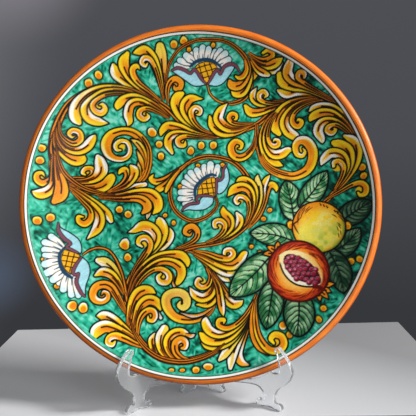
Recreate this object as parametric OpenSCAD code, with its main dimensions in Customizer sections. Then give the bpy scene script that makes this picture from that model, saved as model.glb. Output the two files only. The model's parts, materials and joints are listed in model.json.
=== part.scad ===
// Hand painted earthenware plate standing in a clear folding three-leaf easel.
// Millimetres. Origin: hinge pin axis at table level. +Z up, the plate faces -Y.

/* [Plate] */
// Diameter of the plate over its lip
plate_d = 300; // [260:5:340]
// Height of the plate from foot ring to lip
plate_h = 28; // [25:1:34]
// Thickness of the fired wall at the well
wall_t = 5.5; // [4.5:0.5:7]
// Diameter of the rolled bead along the lip
lip_t = 8; // [6:0.5:10]
// Radial width of the lip, seen from the front
lip_w = 6; // [5:0.5:8]
// Diameter of the flat well in the middle
well_d = 176; // [160:2:190]
// Outer diameter of the foot ring
foot_d = 157; // [140:1:165]
// Width of the foot ring's bare face
foot_w = 7; // [5:0.5:9]
// Height of the foot ring below the base
foot_h = 3.5; // [2.5:0.5:5]
// Thickness of the glaze coats
glaze_t = 0.6; // [0.4:0.1:0.9]
// Width of the white line inside the lip
line_w = 2.6; // [2:0.1:4]

/* [Seat] */
// Angle by which the plate leans back
lean = 13; // [10:0.5:15]
// Height of the plate's lowest point above the table
rim_gap = 21; // [20:0.5:26]
// Distance of each seat from the middle of the stand
seat_half = 50; // [47:1:54]
// Gap between the lip and the seat below it
seat_clear = 0.75; // [0.6:0.05:0.9]
// Further room under the lip, for the rails to swing through
swing_clear = 1.4; // [1:0.1:2]
// Gap between the lip and the hook in front of it
hook_clear = 1.6; // [1.2:0.1:3]
// Gap between the base and the top of the mast
mast_clear = 0.45; // [0.35:0.05:0.6]
// How far below the plate's centre the mast carries its base
mast_drop = 25; // [15:1:35]

/* [Stand] */
// Angle of each front leg from the middle line
leg_spread = 45; // [43:0.5:48]
// Thickness of the moulded legs
leg_t = 4; // [3:0.25:5]
// Height of the hooks above the seat
hook_h = 22; // [18:0.5:25]
// Width of a hook at its bulge
hook_w = 12; // [10:0.5:14]
// Radius of the ball at the end of a hook
hook_ball = 2.6; // [2:0.1:3.2]
// How far a hook's end leans in over the lip
hook_lean = 1.5; // [0.5:0.25:2.25]
// Distance of a front ankle from the hinge pin
ankle_r = 72.5; // [70:0.5:75]
// Width of an ankle
ankle_w = 10.5; // [9:0.5:12]
// Height of an ankle's narrowest place
ankle_z = 9; // [8:0.5:10]
// Reach of the toes from the middle of a foot
toe_reach = 13; // [12:0.5:15]
// Radius of the rounded toes
toe_r = 3; // [2.5:0.1:3.5]
// Height of the rails' lower edge between the feet
arch_z = 14.5; // [12.5:0.5:15]
// Reach of the small inner feet from the hinge pin
inner_toe = 24; // [21:0.5:27]

/* [Hinge] */
// Diameter of the hinge pin
pin_d = 4; // [3:0.5:5]
// Diameter of the hinge knuckles
knuckle_d = 10; // [9:0.5:12]
// Height of one knuckle
knuckle_h = 10; // [8:0.5:11]
// Height of the lowest knuckle above the table
hinge_z = 6; // [5:0.5:8]
// Gap between neighbouring knuckles
knuckle_gap = 0.8; // [0.5:0.05:1.2]
// Room between a leg and the other legs' knuckles
knuckle_clear = 4; // [3.6:0.1:4.4]
// Radial running clearance of the pin in the swinging legs
pin_clear = 0.05; // [0.03:0.01:0.08]
// Distance of each front leg's face from the hinge plane
leaf_gap = 0.35; // [0.25:0.05:0.5]

/* [Hidden] */
$fn = 96;

plate_r = plate_d / 2;
lip_r = lip_t / 2;
// The bead's middle runs on a circle of this radius, lip_r behind the lip's plane
bead_r = plate_r - lip_r;
// The face meets the bead here
face_r = plate_r - lip_w;
face_end = lip_r - sqrt(max(0.01, lip_r * lip_r - pow(bead_r - face_r, 2)));
well_depth = plate_h - foot_h - wall_t;
base_depth = plate_h - foot_h;
line_r = face_r - line_w;
// The wall's back meets the bead at this angle round the bead, from its outermost point
back_angle = 105;
back_end = [bead_r + lip_r * cos(back_angle), lip_r + lip_r * sin(back_angle)];
foot_r = foot_d / 2;
curve_steps = 14;

// Where the plate stands: middle of the bead's circle, with the plate leaning back
bead_z = rim_gap + lip_r + bead_r * cos(lean);
seat_r = seat_half / sin(leg_spread);
seat_y = seat_half / tan(leg_spread);
bead_y = -seat_y + sqrt(bead_r * bead_r - seat_half * seat_half) * sin(lean);

// Outline of the front legs, as distance from the hinge pin and height
seat_end = seat_r + 2;
seat_l = 7;
hook_in = (seat_y + lip_r + hook_clear + (leaf_gap + leg_t) * sin(leg_spread)) / cos(leg_spread);
hook_out = hook_in + hook_w;
seat_z = rail_z(seat_end);
hook_top = seat_z + hook_h;
stile_z = hinge_z + 5 * knuckle_h;
rail_foot = 0.66 * seat_r;

// Back leg: the mast carries the base at this height, and its front lies this far from the pin
mast_w = mast_y(-mast_drop) - mast_clear;
mast_r = knuckle_d / 2;
mast_z = bead_z - mast_drop * cos(lean) - (base_depth - lip_r) * sin(lean);
// The rear foot reaches as far back as the hooks reach forward
front_reach = hook_out * cos(leg_spread);
rear_reach = front_reach;

// Height of the lip's underside over a leg, at distance r from the pin and with the
// leg swung to where the lip lies lowest above that point
function bead_forward(x) = sqrt(max(0, bead_r * bead_r - x * x)) * sin(lean) - bead_y;
function under_lip(r, x) = sqrt(max(0, r * r - pow(bead_forward(x), 2)));
function lip_x(r) = under_lip(r, under_lip(r, under_lip(r, 0)));
function lip_z(r) = bead_z - sqrt(plate_r * plate_r - pow(lip_x(r), 2)) * cos(lean);
function rail_z(r) = lip_z(r) - seat_clear - swing_clear * min(1, max(0, seat_end - r) / seat_l);
// Forward distance of the recessed base, at height w along the plate from its centre
function mast_y(w) = -bead_y - w * sin(lean) - (base_depth - lip_r) * cos(lean);

// Smooth curve through points
function between(a, b, c, d, t) =
    (2 * b + (c - a) * t + (2 * a - 5 * b + 4 * c - d) * t * t
    + (3 * b - a - 3 * c + d) * t * t * t) / 2;
function smooth(p, steps = 5) = let(last = len(p) - 1) concat(
    [for (i = [0:last - 1], k = [0:steps - 1])
        between(p[max(i - 1, 0)], p[i], p[i + 1], p[min(i + 2, last)], k / steps)],
    [p[last]]);
function arc(c, r, from, to, steps = 8) =
    [for (k = [0:steps]) let(a = from + (to - from) * k / steps) c + r * [cos(a), sin(a)]];

// Profile of the plate: depth behind the lip's plane against radius
function face_depth(r) = let(t = max(0, r - well_d / 2) / (face_r - well_d / 2))
    face_end + (well_depth - face_end) * (1 - t * t);
function wall_depth(r) = let(t = max(0, r - foot_r) / (back_end[0] - foot_r))
    back_end[1] + (base_depth - back_end[1]) * (1 - t * t);
function face_line(from, to, lift = 0) = [for (k = [0:curve_steps])
    let(r = from + (to - from) * k / curve_steps) [r, -face_depth(r) - lift]];
function back_line(from, to, lift = 0) = [for (k = [0:curve_steps])
    let(r = from + (to - from) * k / curve_steps) [r, -wall_depth(r) + lift]];
function bead_line(r, from, to) = arc([bead_r, -lip_r], r, from, to, curve_steps);
// Angle round the bead at which the face meets it
face_angle = acos((face_r - bead_r) / lip_r);
inner_bead = lip_r - glaze_t;
// Room left under the white line, so that the coats only touch
fire_gap = 0.02;

// The plate stands with its lip's plane leaning back by the lean angle
module standing() {
    translate([0, bead_y, bead_z])
        rotate([90 - lean, 0, 0])
            translate([0, 0, lip_r])
                children();
}

// Fired clay under the glaze, with the bare foot ring that it was fired on
module clay_body() {
    color("#c98f63") standing() rotate_extrude() polygon(concat(
        [[0, -well_depth - glaze_t]],
        face_line(well_d / 2, line_r, glaze_t),
        [[face_r, -face_end - glaze_t]],
        bead_line(inner_bead, face_angle, -back_angle),
        [for (k = [curve_steps:-1:0]) back_line(foot_r, back_end[0], glaze_t)[k]],
        [[foot_r, -plate_h], [foot_r - foot_w, -plate_h],
         [foot_r - foot_w, -base_depth + glaze_t], [0, -base_depth + glaze_t]]));
}

// Coat of the painted face, from the middle to the white line
module painted_ground() {
    color("#1f9a7a") standing() rotate_extrude() polygon(concat(
        [[0, -well_depth]],
        face_line(well_d / 2, line_r),
        [for (k = [curve_steps:-1:0]) face_line(well_d / 2, line_r, glaze_t)[k]],
        [[0, -well_depth - glaze_t]]));
}

// White line round the painted face
module white_line() {
    inner = face_depth(line_r);
    color("#f2efe6") standing() rotate_extrude() polygon([
        [line_r, -inner], [face_r, -face_end],
        [face_r, -face_end - glaze_t + fire_gap], [line_r, -inner - glaze_t + fire_gap]]);
}

// Orange coat of the rolled lip
module lip_glaze() {
    color("#d9651f") standing() rotate_extrude() polygon(concat(
        bead_line(lip_r, face_angle, -back_angle),
        bead_line(inner_bead, -back_angle, face_angle)));
}

// White coat of the back: the wall outside the foot ring and the base inside it
module back_glaze() {
    color("#efe9dc") standing() {
        rotate_extrude() polygon(concat(
            back_line(foot_r, back_end[0], glaze_t),
            [for (k = [curve_steps:-1:0]) back_line(foot_r, back_end[0])[k]]));
        translate([0, 0, -base_depth])
            cylinder(r = foot_r - foot_w, h = glaze_t);
    }
}

// Level of the nth knuckle from the bottom
function knuckle_z(n) = hinge_z + n * knuckle_h;

module knuckles(levels) {
    for (n = levels)
        translate([0, 0, knuckle_z(n)])
            cylinder(d = knuckle_d, h = knuckle_h - knuckle_gap);
}

// Room round the other leaves' knuckles
module knuckle_room(levels) {
    for (n = levels)
        translate([0, 0, knuckle_z(n) - knuckle_gap])
            cylinder(d = knuckle_d + 2 * knuckle_clear, h = knuckle_h + knuckle_gap);
}

// Round toe with a flat sole, with its middle at distance r
module toe_2d(r) {
    translate([r, 0])
        intersection() {
            translate([0, toe_r * 0.9]) circle(toe_r, $fn = 40);
            translate([-toe_r, 0]) square([2 * toe_r, 2 * toe_r]);
        }
}

// Side view of a front leg: inner foot, arched rail, ankle, foot, hook and seat
module front_leg_2d() {
    half = ankle_w / 2;
    toe = toe_reach - toe_r;
    polygon(concat(
        [[0, knuckle_z(0) + knuckle_h / 2], [knuckle_d / 2 + 1, toe_r]],
        [[knuckle_d / 2 + 3, 0], [inner_toe - toe_r, 0]],
        smooth([[inner_toe - toe_r, 2 * toe_r * 0.9], [inner_toe + 3, arch_z - 3.5],
            [(inner_toe + ankle_r) / 2 - 4, arch_z], [ankle_r - half - 11, arch_z + 1.5],
            [ankle_r - half - 5, arch_z + 1], [ankle_r - half - 1.2, arch_z - 1.8],
            [ankle_r - half, ankle_z + 1], [ankle_r - half - 0.5, ankle_z - 3.5],
            [ankle_r - toe, toe_r * 1.7]]),
        smooth([[ankle_r - toe, 0], [ankle_r - half, 0.4], [ankle_r, 1.4],
            [ankle_r + half, 0.4], [ankle_r + toe, 0]]),
        smooth([[ankle_r + toe, toe_r * 1.7], [ankle_r + half + 0.5, ankle_z - 3.5],
            [ankle_r + half, ankle_z + 1], [ankle_r + half + 1.5, arch_z],
            [ankle_r + half + 5, arch_z + 4], [hook_out - 7, seat_z - 7.5],
            [hook_out - 2, seat_z - 2], [hook_out, seat_z + 4],
            [hook_out - 1.5, seat_z + 9.5], [hook_out - 5.5, hook_top - 7],
            [hook_in - hook_lean + 1.4, hook_top - 1]]),
        smooth([[hook_in - hook_lean - 2.4, hook_top - 2.5], [hook_in - 1.6, hook_top - 10],
            [hook_in - 0.2, seat_z + 7], [hook_in, seat_z + 3.5], [hook_in - 1.2, seat_z + 0.8],
            [hook_in - 4, seat_z]]),
        [for (k = [0:8]) let(r = seat_end + (rail_foot - seat_end) * k / 8) [r, rail_z(r)]],
        smooth([[rail_foot - 3, rail_z(rail_foot) - 2.5], [rail_foot - 12, arch_z + 4],
            [inner_toe + 4, arch_z + 7], [inner_toe - 5, arch_z + 17],
            [knuckle_d / 2 + 8, stile_z - 9], [knuckle_d / 2 + 5, stile_z - knuckle_gap]]),
        [[0, stile_z - knuckle_gap]]));
    translate([hook_in - hook_lean - 0.6, hook_top - hook_ball])
        circle(hook_ball, $fn = 40);
    toe_2d(ankle_r - toe);
    toe_2d(ankle_r + toe);
    toe_2d(inner_toe - toe_r);
}

// Front leg of the right side, with its knuckles at the given levels
module front_leg(own, others) {
    difference() {
        union() {
            rotate([0, 0, leg_spread - 90])
                translate([0, leg_t + leaf_gap, 0])
                    rotate([90, 0, 0])
                        linear_extrude(leg_t) front_leg_2d();
            knuckles(own);
        }
        knuckle_room(others);
        translate([0, 0, -1])
            cylinder(d = pin_d + 2 * pin_clear, h = stile_z + 2);
    }
}

module right_leg() {
    color([0.82, 0.86, 0.88, 0.45]) front_leg([2, 4], [0, 1, 3, 5]);
}

module left_leg() {
    color([0.82, 0.86, 0.88, 0.45]) mirror([1, 0, 0]) front_leg([1, 3], [0, 2, 4, 5]);
}

// Side view of the back leg: mast, rear brace and rear foot
module back_leg_2d() {
    heel = rear_reach - 2 * toe_reach;
    polygon(concat(
        [[0, hinge_z], [knuckle_d / 2 + 4, hinge_z]],
        smooth([[knuckle_d / 2 + 4, hinge_z], [heel / 2, arch_z - 2], [heel - 5, arch_z - 1],
            [heel + 2, ankle_z], [heel + toe_r, toe_r * 1.7]]),
        smooth([[heel + toe_r, 0], [heel + toe_reach, 1.4], [rear_reach - toe_r, 0]]),
        smooth([[rear_reach - toe_r, toe_r * 1.7], [rear_reach - 9, ankle_z + 1],
            [rear_reach - 14, arch_z + 6], [0.55 * rear_reach, 0.26 * mast_z],
            [0.32 * rear_reach, 0.45 * mast_z], [0.18 * rear_reach, 0.66 * mast_z],
            [mast_r + 1, 0.84 * mast_z], [mast_r, mast_z]]),
        arc([0, mast_z], mast_r, 0, 90),
        arc([0, mast_z], mast_w, 90, 180),
        [[-mast_r, 0.9 * mast_z], [-mast_r, knuckle_z(5)], [0, knuckle_z(5)]]));
    toe_2d(heel + toe_r);
    toe_2d(rear_reach - toe_r);
}

// Back leg with the mast that the plate leans on. It holds the pin.
module back_leg() {
    color([0.82, 0.86, 0.88, 0.45]) difference() {
        union() {
            rotate([0, 0, 90])
                translate([0, leg_t / 2, 0])
                    rotate([90, 0, 0])
                        linear_extrude(leg_t) back_leg_2d();
            knuckles([0, 5]);
        }
        knuckle_room([1, 2, 3, 4]);
        translate([0, 0, -1])
            cylinder(d = pin_d, h = stile_z + knuckle_h - 1);
    }
}

// Hinge pin, pushed in from below up to its head
module hinge_pin() {
    head_h = 2;
    color([0.75, 0.78, 0.8]) {
        translate([0, 0, hinge_z - head_h])
            cylinder(d = pin_d + 3, h = head_h);
        translate([0, 0, hinge_z])
            cylinder(d = pin_d, h = stile_z + knuckle_h - 2 - hinge_z);
    }
}

clay_body();
painted_ground();
white_line();
lip_glaze();
back_glaze();
left_leg();
right_leg();
back_leg();
hinge_pin();
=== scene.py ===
"""Looks of a hand painted earthenware plate that leans in a clear folding easel."""

import json
import math

import bpy
import numpy as np
from mathutils import Matrix, Vector

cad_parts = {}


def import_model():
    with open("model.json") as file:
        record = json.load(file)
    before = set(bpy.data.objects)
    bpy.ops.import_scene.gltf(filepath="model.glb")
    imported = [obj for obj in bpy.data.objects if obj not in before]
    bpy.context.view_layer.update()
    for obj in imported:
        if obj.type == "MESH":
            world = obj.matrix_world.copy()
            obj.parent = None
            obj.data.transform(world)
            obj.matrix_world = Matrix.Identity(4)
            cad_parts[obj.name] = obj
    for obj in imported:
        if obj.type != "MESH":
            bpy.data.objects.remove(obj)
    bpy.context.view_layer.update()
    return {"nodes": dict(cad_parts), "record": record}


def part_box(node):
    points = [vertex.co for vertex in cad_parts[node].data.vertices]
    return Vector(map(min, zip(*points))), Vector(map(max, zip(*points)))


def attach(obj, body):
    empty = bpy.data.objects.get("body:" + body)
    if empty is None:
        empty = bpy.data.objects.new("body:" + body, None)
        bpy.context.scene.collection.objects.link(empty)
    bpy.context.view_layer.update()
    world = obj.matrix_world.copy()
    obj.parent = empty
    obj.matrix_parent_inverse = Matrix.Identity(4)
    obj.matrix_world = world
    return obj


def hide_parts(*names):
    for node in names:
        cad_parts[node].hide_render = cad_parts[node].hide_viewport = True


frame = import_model()
nodes = frame["nodes"]
MM = 0.001


# Where the plate stands, from the frame
def plate_axes():
    """Middle of the lip's bead, and the plate's right, up and front directions."""
    low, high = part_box("lip_glaze")
    back = next(m for m in frame["record"]["mounts"] if m["name"] == "foot_ring")["axis"]
    front = -Vector(back).normalized()
    right = Vector((1, 0, 0))
    return (low + high) / 2, right, front.cross(right), front


bead_centre, right_dir, up_dir, front_dir = plate_axes()


def on_plate(name):
    """Radius of a node's points from the plate's axis and depth behind the bead's middle, in mm."""
    spots = np.array([v.co - bead_centre for v in nodes[name].data.vertices]) / MM
    radius = np.hypot(spots @ np.array(right_dir), spots @ np.array(up_dir))
    return radius, -(spots @ np.array(front_dir))


# The painted face: a flat well and a wall that rises as a parabola
NEAR_EDGE = 0.1
ring_r, ring_depth = on_plate("painted_ground")
face_r = ring_r.max()
well_r = ring_r.min()
face_depth = ring_depth[ring_r > face_r - NEAR_EDGE].min()
well_depth = ring_depth[ring_r < well_r + NEAR_EDGE].min()


def depth_at(radius):
    """Depth of the painted face behind the bead's middle."""
    rise = np.clip((radius - well_r) / (face_r - well_r), 0, None)
    return well_depth + (face_depth - well_depth) * rise * rise


# Points of the face: a square of points spread evenly over the disc
SIDE = 600


def disc_points(side, radius):
    """Square grid of points mapped onto a disc, with equal areas."""
    step = np.linspace(-1, 1, side)
    a, b = np.meshgrid(step, step)
    wide = np.abs(a) > np.abs(b)
    reach = np.where(wide, a, b)
    other = np.where(wide, b, a)
    turn = (math.pi / 4) * other / np.where(reach == 0, 1, reach)
    x = reach * np.where(wide, np.cos(turn), np.sin(turn))
    y = reach * np.where(wide, np.sin(turn), np.cos(turn))
    return radius * x.ravel(), radius * y.ravel()


px, py = disc_points(SIDE, face_r)
prho = np.hypot(px, py)
paint = np.zeros((len(px), 3))
relief = np.zeros(len(px))


# Colours of the painter, as they look on the glaze
def tint(code):
    """Colour from its code, with values from 0 to 1."""
    return np.array([int(code[i:i + 2], 16) for i in (0, 2, 4)]) / 255


YELLOW = tint("F9D01E")
LEMON_YELLOW = tint("F6D840")
PALE_YELLOW = tint("F0DC7A")
ORANGE = tint("F09A1C")
DEEP_ORANGE = tint("E88216")
RUST = tint("D07A18")
BROWN = tint("6A2A10")
DARK_BROWN = tint("3E140A")
LINE = tint("120302")
VEIN = tint("1E0604")
INK = tint("010403")
SHADE = tint("06362A")
WHITE = tint("F4F0E8")
SKY = tint("A6DCE8")
NAVY = tint("1D3F58")
PLUM = tint("7A4656")
LEAF = tint("4CA462")
LEAF_PALE = tint("D2EAC2")
LEAF_LIME = tint("C2D884")
LEAF_DARK = tint("1A4E2E")
LEAF_DEEP = tint("0C281A")
LEAF_LINE = tint("08170F")
CRIMSON = tint("8C1230")
DARK_RED = tint("5A100C")
RED_ORANGE = tint("D2461A")
PINK = tint("E69AAC")
RIND = tint("F6EDD6")
OCHRE = tint("C99A1C")
HEART = tint("F2B01E")
AMBER = tint("EEA01C")
GOLD = tint("F4CC2E")
STRAW = tint("F0E27C")
PALE_LEMON = tint("E8DC5C")
PALE_LIME = tint("D2D264")
OLIVE = tint("A4B432")
MOSS = tint("4E6A26")
BLUSH = tint("E88A1A")
CREAM = tint("F5E2A0")
APRICOT = tint("F2A840")
WINE = tint("4A0C1A")
SEED_GAP = tint("2A0A12")
SEED_EDGE = tint("F0DADC")

# The white line wanders along the rim: waves per turn, start and size in mm
WANDER = ((1, -2.27, 1.5), (3, 1.0, 0.25), (7, 2.0, 0.15))
INNER_LINE, WHITE_FROM, WHITE_TO, ORANGE_FROM = 141.9, 142.5, 144.0, 144.9

# Thickness of the paint in mm, from thin coats to seeds
THIN, COAT, MARK, FINE_LINE, BOLD_LINE, SEED = 0.04, 0.05, 0.06, 0.07, 0.08, 0.1

# Sides of the compass, which say where a lobe is white
COMPASS = {"n": (0, 1), "ne": (0.7, 0.7), "e": (1, 0), "se": (0.7, -0.7),
           "s": (0, -1), "sw": (-0.7, -0.7), "w": (-1, 0), "nw": (-0.7, 0.7)}


# Small helpers
def ramp(low, high, value):
    """Smooth step from 0 at low to 1 at high."""
    t = np.clip((value - low) / (high - low), 0, 1)
    return t * t * (3 - 2 * t)


def mix(a, b, share):
    """Colour between two colours, at each point's share."""
    share = np.asarray(share)[..., None]
    return a + (b - a) * share


def clouds(size, seed, stretch=1.0, angle=0.0, at=None):
    """Soft random field from 0 to 1 with patches of the given size, in mm."""
    x, y = (px, py) if at is None else at
    turn = math.radians(angle)
    u = (x * math.cos(turn) + y * math.sin(turn)) / (size * stretch)
    v = (y * math.cos(turn) - x * math.sin(turn)) / size
    span = 512
    lattice = np.random.default_rng(seed).random((span, span))
    i, j = np.floor(u).astype(int), np.floor(v).astype(int)
    f, g = u - i, v - j
    f, g = f * f * (3 - 2 * f), g * g * (3 - 2 * g)
    low = lattice[i % span, j % span] * (1 - f) + lattice[(i + 1) % span, j % span] * f
    high = lattice[i % span, (j + 1) % span] * (1 - f) + lattice[(i + 1) % span, (j + 1) % span] * f
    return low * (1 - g) + high * g


streaks = clouds(0.9, seed=3, stretch=5, angle=35)
blotches = clouds(3.5, seed=4)


def toned(value, stops):
    """Colour for each value, from (value, colour code) stops in order."""
    places = [place for place, _ in stops]
    tones = [tint(code) for _, code in stops]
    return np.stack([np.interp(value, places, [tone[k] for tone in tones]) for k in range(3)], 1)


def uneven(colour, grain):
    """Colour with the slight unevenness of a brushed coat."""
    return colour * (0.94 + 0.12 * grain)[:, None]


def lay(where, cover, colour, thick=0.0):
    """Lays a colour on points, with a cover from 0 to 1 and the paint's thickness in mm."""
    paint[where] += (colour - paint[where]) * cover[:, None]
    relief[where] += (thick - relief[where]) * cover if thick else 0


def edge(distance, soft=0.26):
    """Cover inside a shape, from the distance to its edge."""
    return np.clip(0.5 - distance / (2 * soft), 0, 1)


def curve(points, step=0.5):
    """Smooth curve through points with any number of values each."""
    p = np.array(points, float)
    p = np.vstack([2 * p[0] - p[1], p, 2 * p[-1] - p[-2]])
    parts = []
    for a, b, c, d in zip(p, p[1:], p[2:], p[3:]):
        t = np.linspace(0, 1, max(2, int(np.hypot(*(c - b)[:2]) / step)), endpoint=False)[:, None]
        parts.append((2 * b + (c - a) * t + (2 * a - 5 * b + 4 * c - d) * t ** 2
                      + (3 * b - a - 3 * c + d) * t ** 3) / 2)
    return np.vstack(parts + [p[-2:-1]])


def run_along(line):
    """Length of a curve up to each of its points."""
    return np.r_[0, np.cumsum(np.hypot(*np.diff(line[:, :2], axis=0).T))]


def near(low, high, margin):
    """Points in a box with a margin, in mm."""
    return np.flatnonzero((px > low[0] - margin) & (px < high[0] + margin)
                          & (py > low[1] - margin) & (py < high[1] + margin))


# Finest half width of a brush line, half width of the outlines, and a distance beyond any other, in mm
FINEST, OUTLINE, FAR = 0.15, 0.62, 99


class Stroke:
    """Brush stroke along a curve of (x, y, half width), with each point's place in it."""

    def __init__(self, points, margin=1.6):
        line = curve(points)
        line[:, 2] = np.maximum(line[:, 2], FINEST)
        self.line = line
        self.run = run_along(line)
        self.length = self.run[-1]
        wide = line[:, 2].max() + margin
        self.where = near(line[:, :2].min(0), line[:, :2].max(0), wide)
        dx = px[self.where, None] - line[None, :, 0]
        dy = py[self.where, None] - line[None, :, 1]
        self.gaps = np.hypot(dx, dy) - line[None, :, 2]
        best = self.gaps.argmin(1)
        rows = np.arange(len(best))
        self.best = best
        self.distance = self.gaps[rows, best]
        self.half = line[best, 2]
        self.s = self.run[best] / self.length
        ahead = np.gradient(line[:, :2], axis=0)
        ahead /= np.hypot(*ahead.T)[:, None] + 1e-9
        self.off = np.stack([dx[rows, best], dy[rows, best]], 1) / self.half[:, None]
        self.across = ahead[best, 0] * self.off[:, 1] - ahead[best, 1] * self.off[:, 0]
        self.bend = 1 if np.cross(ahead[:-1], ahead[1:]).sum() > 0 else -1

    def facing(self, name):
        """How far each point lies towards a side of the compass, in half widths."""
        east, north = COMPASS[name]
        return self.off[:, 0] * east + self.off[:, 1] * north

    def grain(self, seed=3, length=7, width=0.8):
        """Brush marks along the stroke, from 0 to 1, other ones for each stroke."""
        along = self.s * self.length / length + 3.1 * self.line[0, 0]
        beside = self.across * self.half / width + 2.7 * self.line[0, 1]
        return clouds(1, seed, at=(along, beside))

    def turns(self, width):
        """Cover of the line between neighbouring turns of a curl."""
        apart = np.abs(self.run[None, :] - self.run[self.best][:, None])
        next_turn = apart > 3.2 * self.half[:, None] + 3
        other = np.where(next_turn, self.gaps, FAR).min(1)
        between_turns = edge(np.abs(other - self.distance) / 2 - width)
        return between_turns * edge(self.distance - 0.4)


def rule(points, colour=LINE, thick=FINE_LINE):
    """Plain line of paint along (x, y, half width) points."""
    stroke = Stroke(points, margin=0.8)
    lay(stroke.where, edge(stroke.distance, soft=0.28), colour, thick)


def between(start, end, share, half):
    """Point of a line on the way from start to end, with its half width."""
    return start[0] + share * (end[0] - start[0]), start[1] + share * (end[1] - start[1]), half


def part_of(points, start, end, half, offset=0.0):
    """Stretch of a stroke's middle line, thin at its root and blunt at its end."""
    line = curve(points)
    run = run_along(line)
    share = np.linspace(0, 1, 9)
    place = (start + (end - start) * share) * run[-1]
    x, y, w = (np.interp(place, run, line[:, k]) for k in range(3))
    dx, dy = np.gradient(x), np.gradient(y)
    norm = np.hypot(dx, dy)
    grow = half * (0.3 + 0.7 * ramp(0, 0.6, share))
    return list(zip(x - offset * w * dy / norm, y + offset * w * dx / norm, grow))


def wider(points, full):
    """Half widths as painted: fuller than noted in the middle, and fine at both ends."""
    shares = [i / (len(points) - 1) for i in range(len(points))]
    return [(x, y, half + full * (0.2 * half + 0.8 * (1 - share ** 5) * min(1, 0.1 + 2.5 * share)))
            for share, (x, y, half) in zip(shares, points)]


def finger(points, white="", tone=YELLOW, vein=(0.04, 0.78), root=RUST, rolled=False, pale=0.0, full=0.8):
    """Lobe of an acanthus leaf: rust at its root, yellow at its tip, with dark veins."""
    stroke = Stroke(points if tone is WHITE else wider(points, full), margin=3)
    where, s, t = stroke.where, stroke.s, stroke.across
    grain = stroke.grain()
    side = stroke.bend
    colour = mix(root, ORANGE, ramp(0.0, 0.22, s))
    colour = mix(colour, tone, ramp(0.15, 0.5, s + 0.3 * (grain - 0.5)))
    warm = ramp(-0.5, 0.0, t * side + 0.35 * (grain - 0.5)) * (1 - 0.7 * ramp(0.6, 1.0, t * side))
    colour = mix(colour, mix(DEEP_ORANGE, ORANGE, 0.7 * grain), warm * (1 - ramp(0.76, 0.98, s)))
    colour = mix(colour, LEMON_YELLOW, 0.35 * ramp(0.2, 0.8, -t * side) * ramp(0.4, 0.7, s))
    if pale:
        colour = mix(colour, PALE_YELLOW, pale * ramp(0.3, 0.8, s))
    for name in white.split():
        reach = ramp(0.52, 0.72, s) * ramp(0.1, 0.45, stroke.facing(name) + 0.4 * (grain - 0.5))
        colour = mix(colour, WHITE, reach)
    colour = np.clip(uneven(colour, grain), 0, 1)
    shadow = edge(stroke.distance - 0.9, soft=0.6) * ramp(0.15, 0.45, s)
    lay(where, 0.25 * shadow, SHADE)
    lay(where, edge(stroke.distance) * ramp(0.0, 0.05, s), colour, THIN)
    if vein:
        rule(part_of(points, vein[0], vein[1], 0.66), VEIN)
        broad = stroke.half.max() > 3.4
        if broad:
            rule(part_of(points, 0.02, 0.66 * vein[1], 0.46, offset=0.5 * side), VEIN)
            rule(part_of(points, 0.02, 0.5 * vein[1], 0.4, offset=-0.5 * side), BROWN)
    past_root = ramp(0.1, 0.5, s)
    rim = edge(np.abs(stroke.distance) - OUTLINE * (0.5 + 0.5 * past_root)) * ramp(0.0, 0.04, s)
    lay(where, rim, mix(LINE, INK, past_root), BOLD_LINE)
    if rolled:
        lay(where, stroke.turns(OUTLINE), INK, BOLD_LINE)


def white_tip(points, white):
    """Small white lobe without veins."""
    finger(points, white, tone=WHITE, root=WHITE, vein=None)


def curl(points, white="", tone=YELLOW, vein=(0.03, 0.5), full=0.35, **more):
    """Lobe that rolls up into a spiral, with its middle filled."""
    tail = np.array(points[-4:])[:, :2]
    hub = tail.mean(0)
    where, _, _, distance = disc(hub[0], hub[1], np.hypot(*(tail - hub).T).max() + 0.5)
    lay(where, edge(distance), mix(tone, ORANGE, 0.5 * blotches[where]), THIN)
    finger(points, white, tone, vein, rolled=True, full=full, **more)


def stem(points, lights=2):
    """Dark brown stem with warm lights along it."""
    stroke = Stroke(points)
    where = stroke.where
    place = (stroke.across + 1) / 2 * lights
    apart = np.abs(place % 1 - 0.5) * 2 / lights * stroke.half
    width = 0.36 * stroke.half / lights + 0.16 * (stroke.grain(seed=5) - 0.5)
    lay(where, edge(stroke.distance - 0.2), mix(LINE, DARK_BROWN, stroke.grain(seed=6)), COAT)
    lights_here = edge(apart - width) * edge(stroke.distance + 0.4)
    lay(where, lights_here, mix(DEEP_ORANGE, ORANGE, stroke.grain(seed=7)), BOLD_LINE)


def dot(x, y, wide, high=None, cream=WHITE, side="s"):
    """Oval dot of cream or yellow with an orange heart to one side."""
    high = high or wide
    where = near((x, y), (x, y), margin=7)
    dx, dy = px[where] - x, py[where] - y
    u, v = dx / wide, dy / high
    size = (wide + high) / 2
    wobble = 0.3 * (clouds(3.0, seed=31, at=(dx + 7 * x, dy + 7 * y)) - 0.5)
    distance = (np.hypot(u, v) - 1 + wobble) * size
    east, north = COMPASS[side]
    heart = np.hypot(u - 0.25 * east, v - 0.25 * north) + wobble
    colour = mix(cream, YELLOW, ramp(0.95, 0.75, heart))
    colour = mix(colour, DEEP_ORANGE, ramp(0.68, 0.5, heart))
    lay(where, 0.4 * edge(distance - 1.1, soft=0.6), INK)
    lay(where, edge(distance), uneven(colour, blotches[where]), MARK)
    lay(where, 0.95 * edge(np.abs(distance) - 0.42), INK, FINE_LINE)


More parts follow.
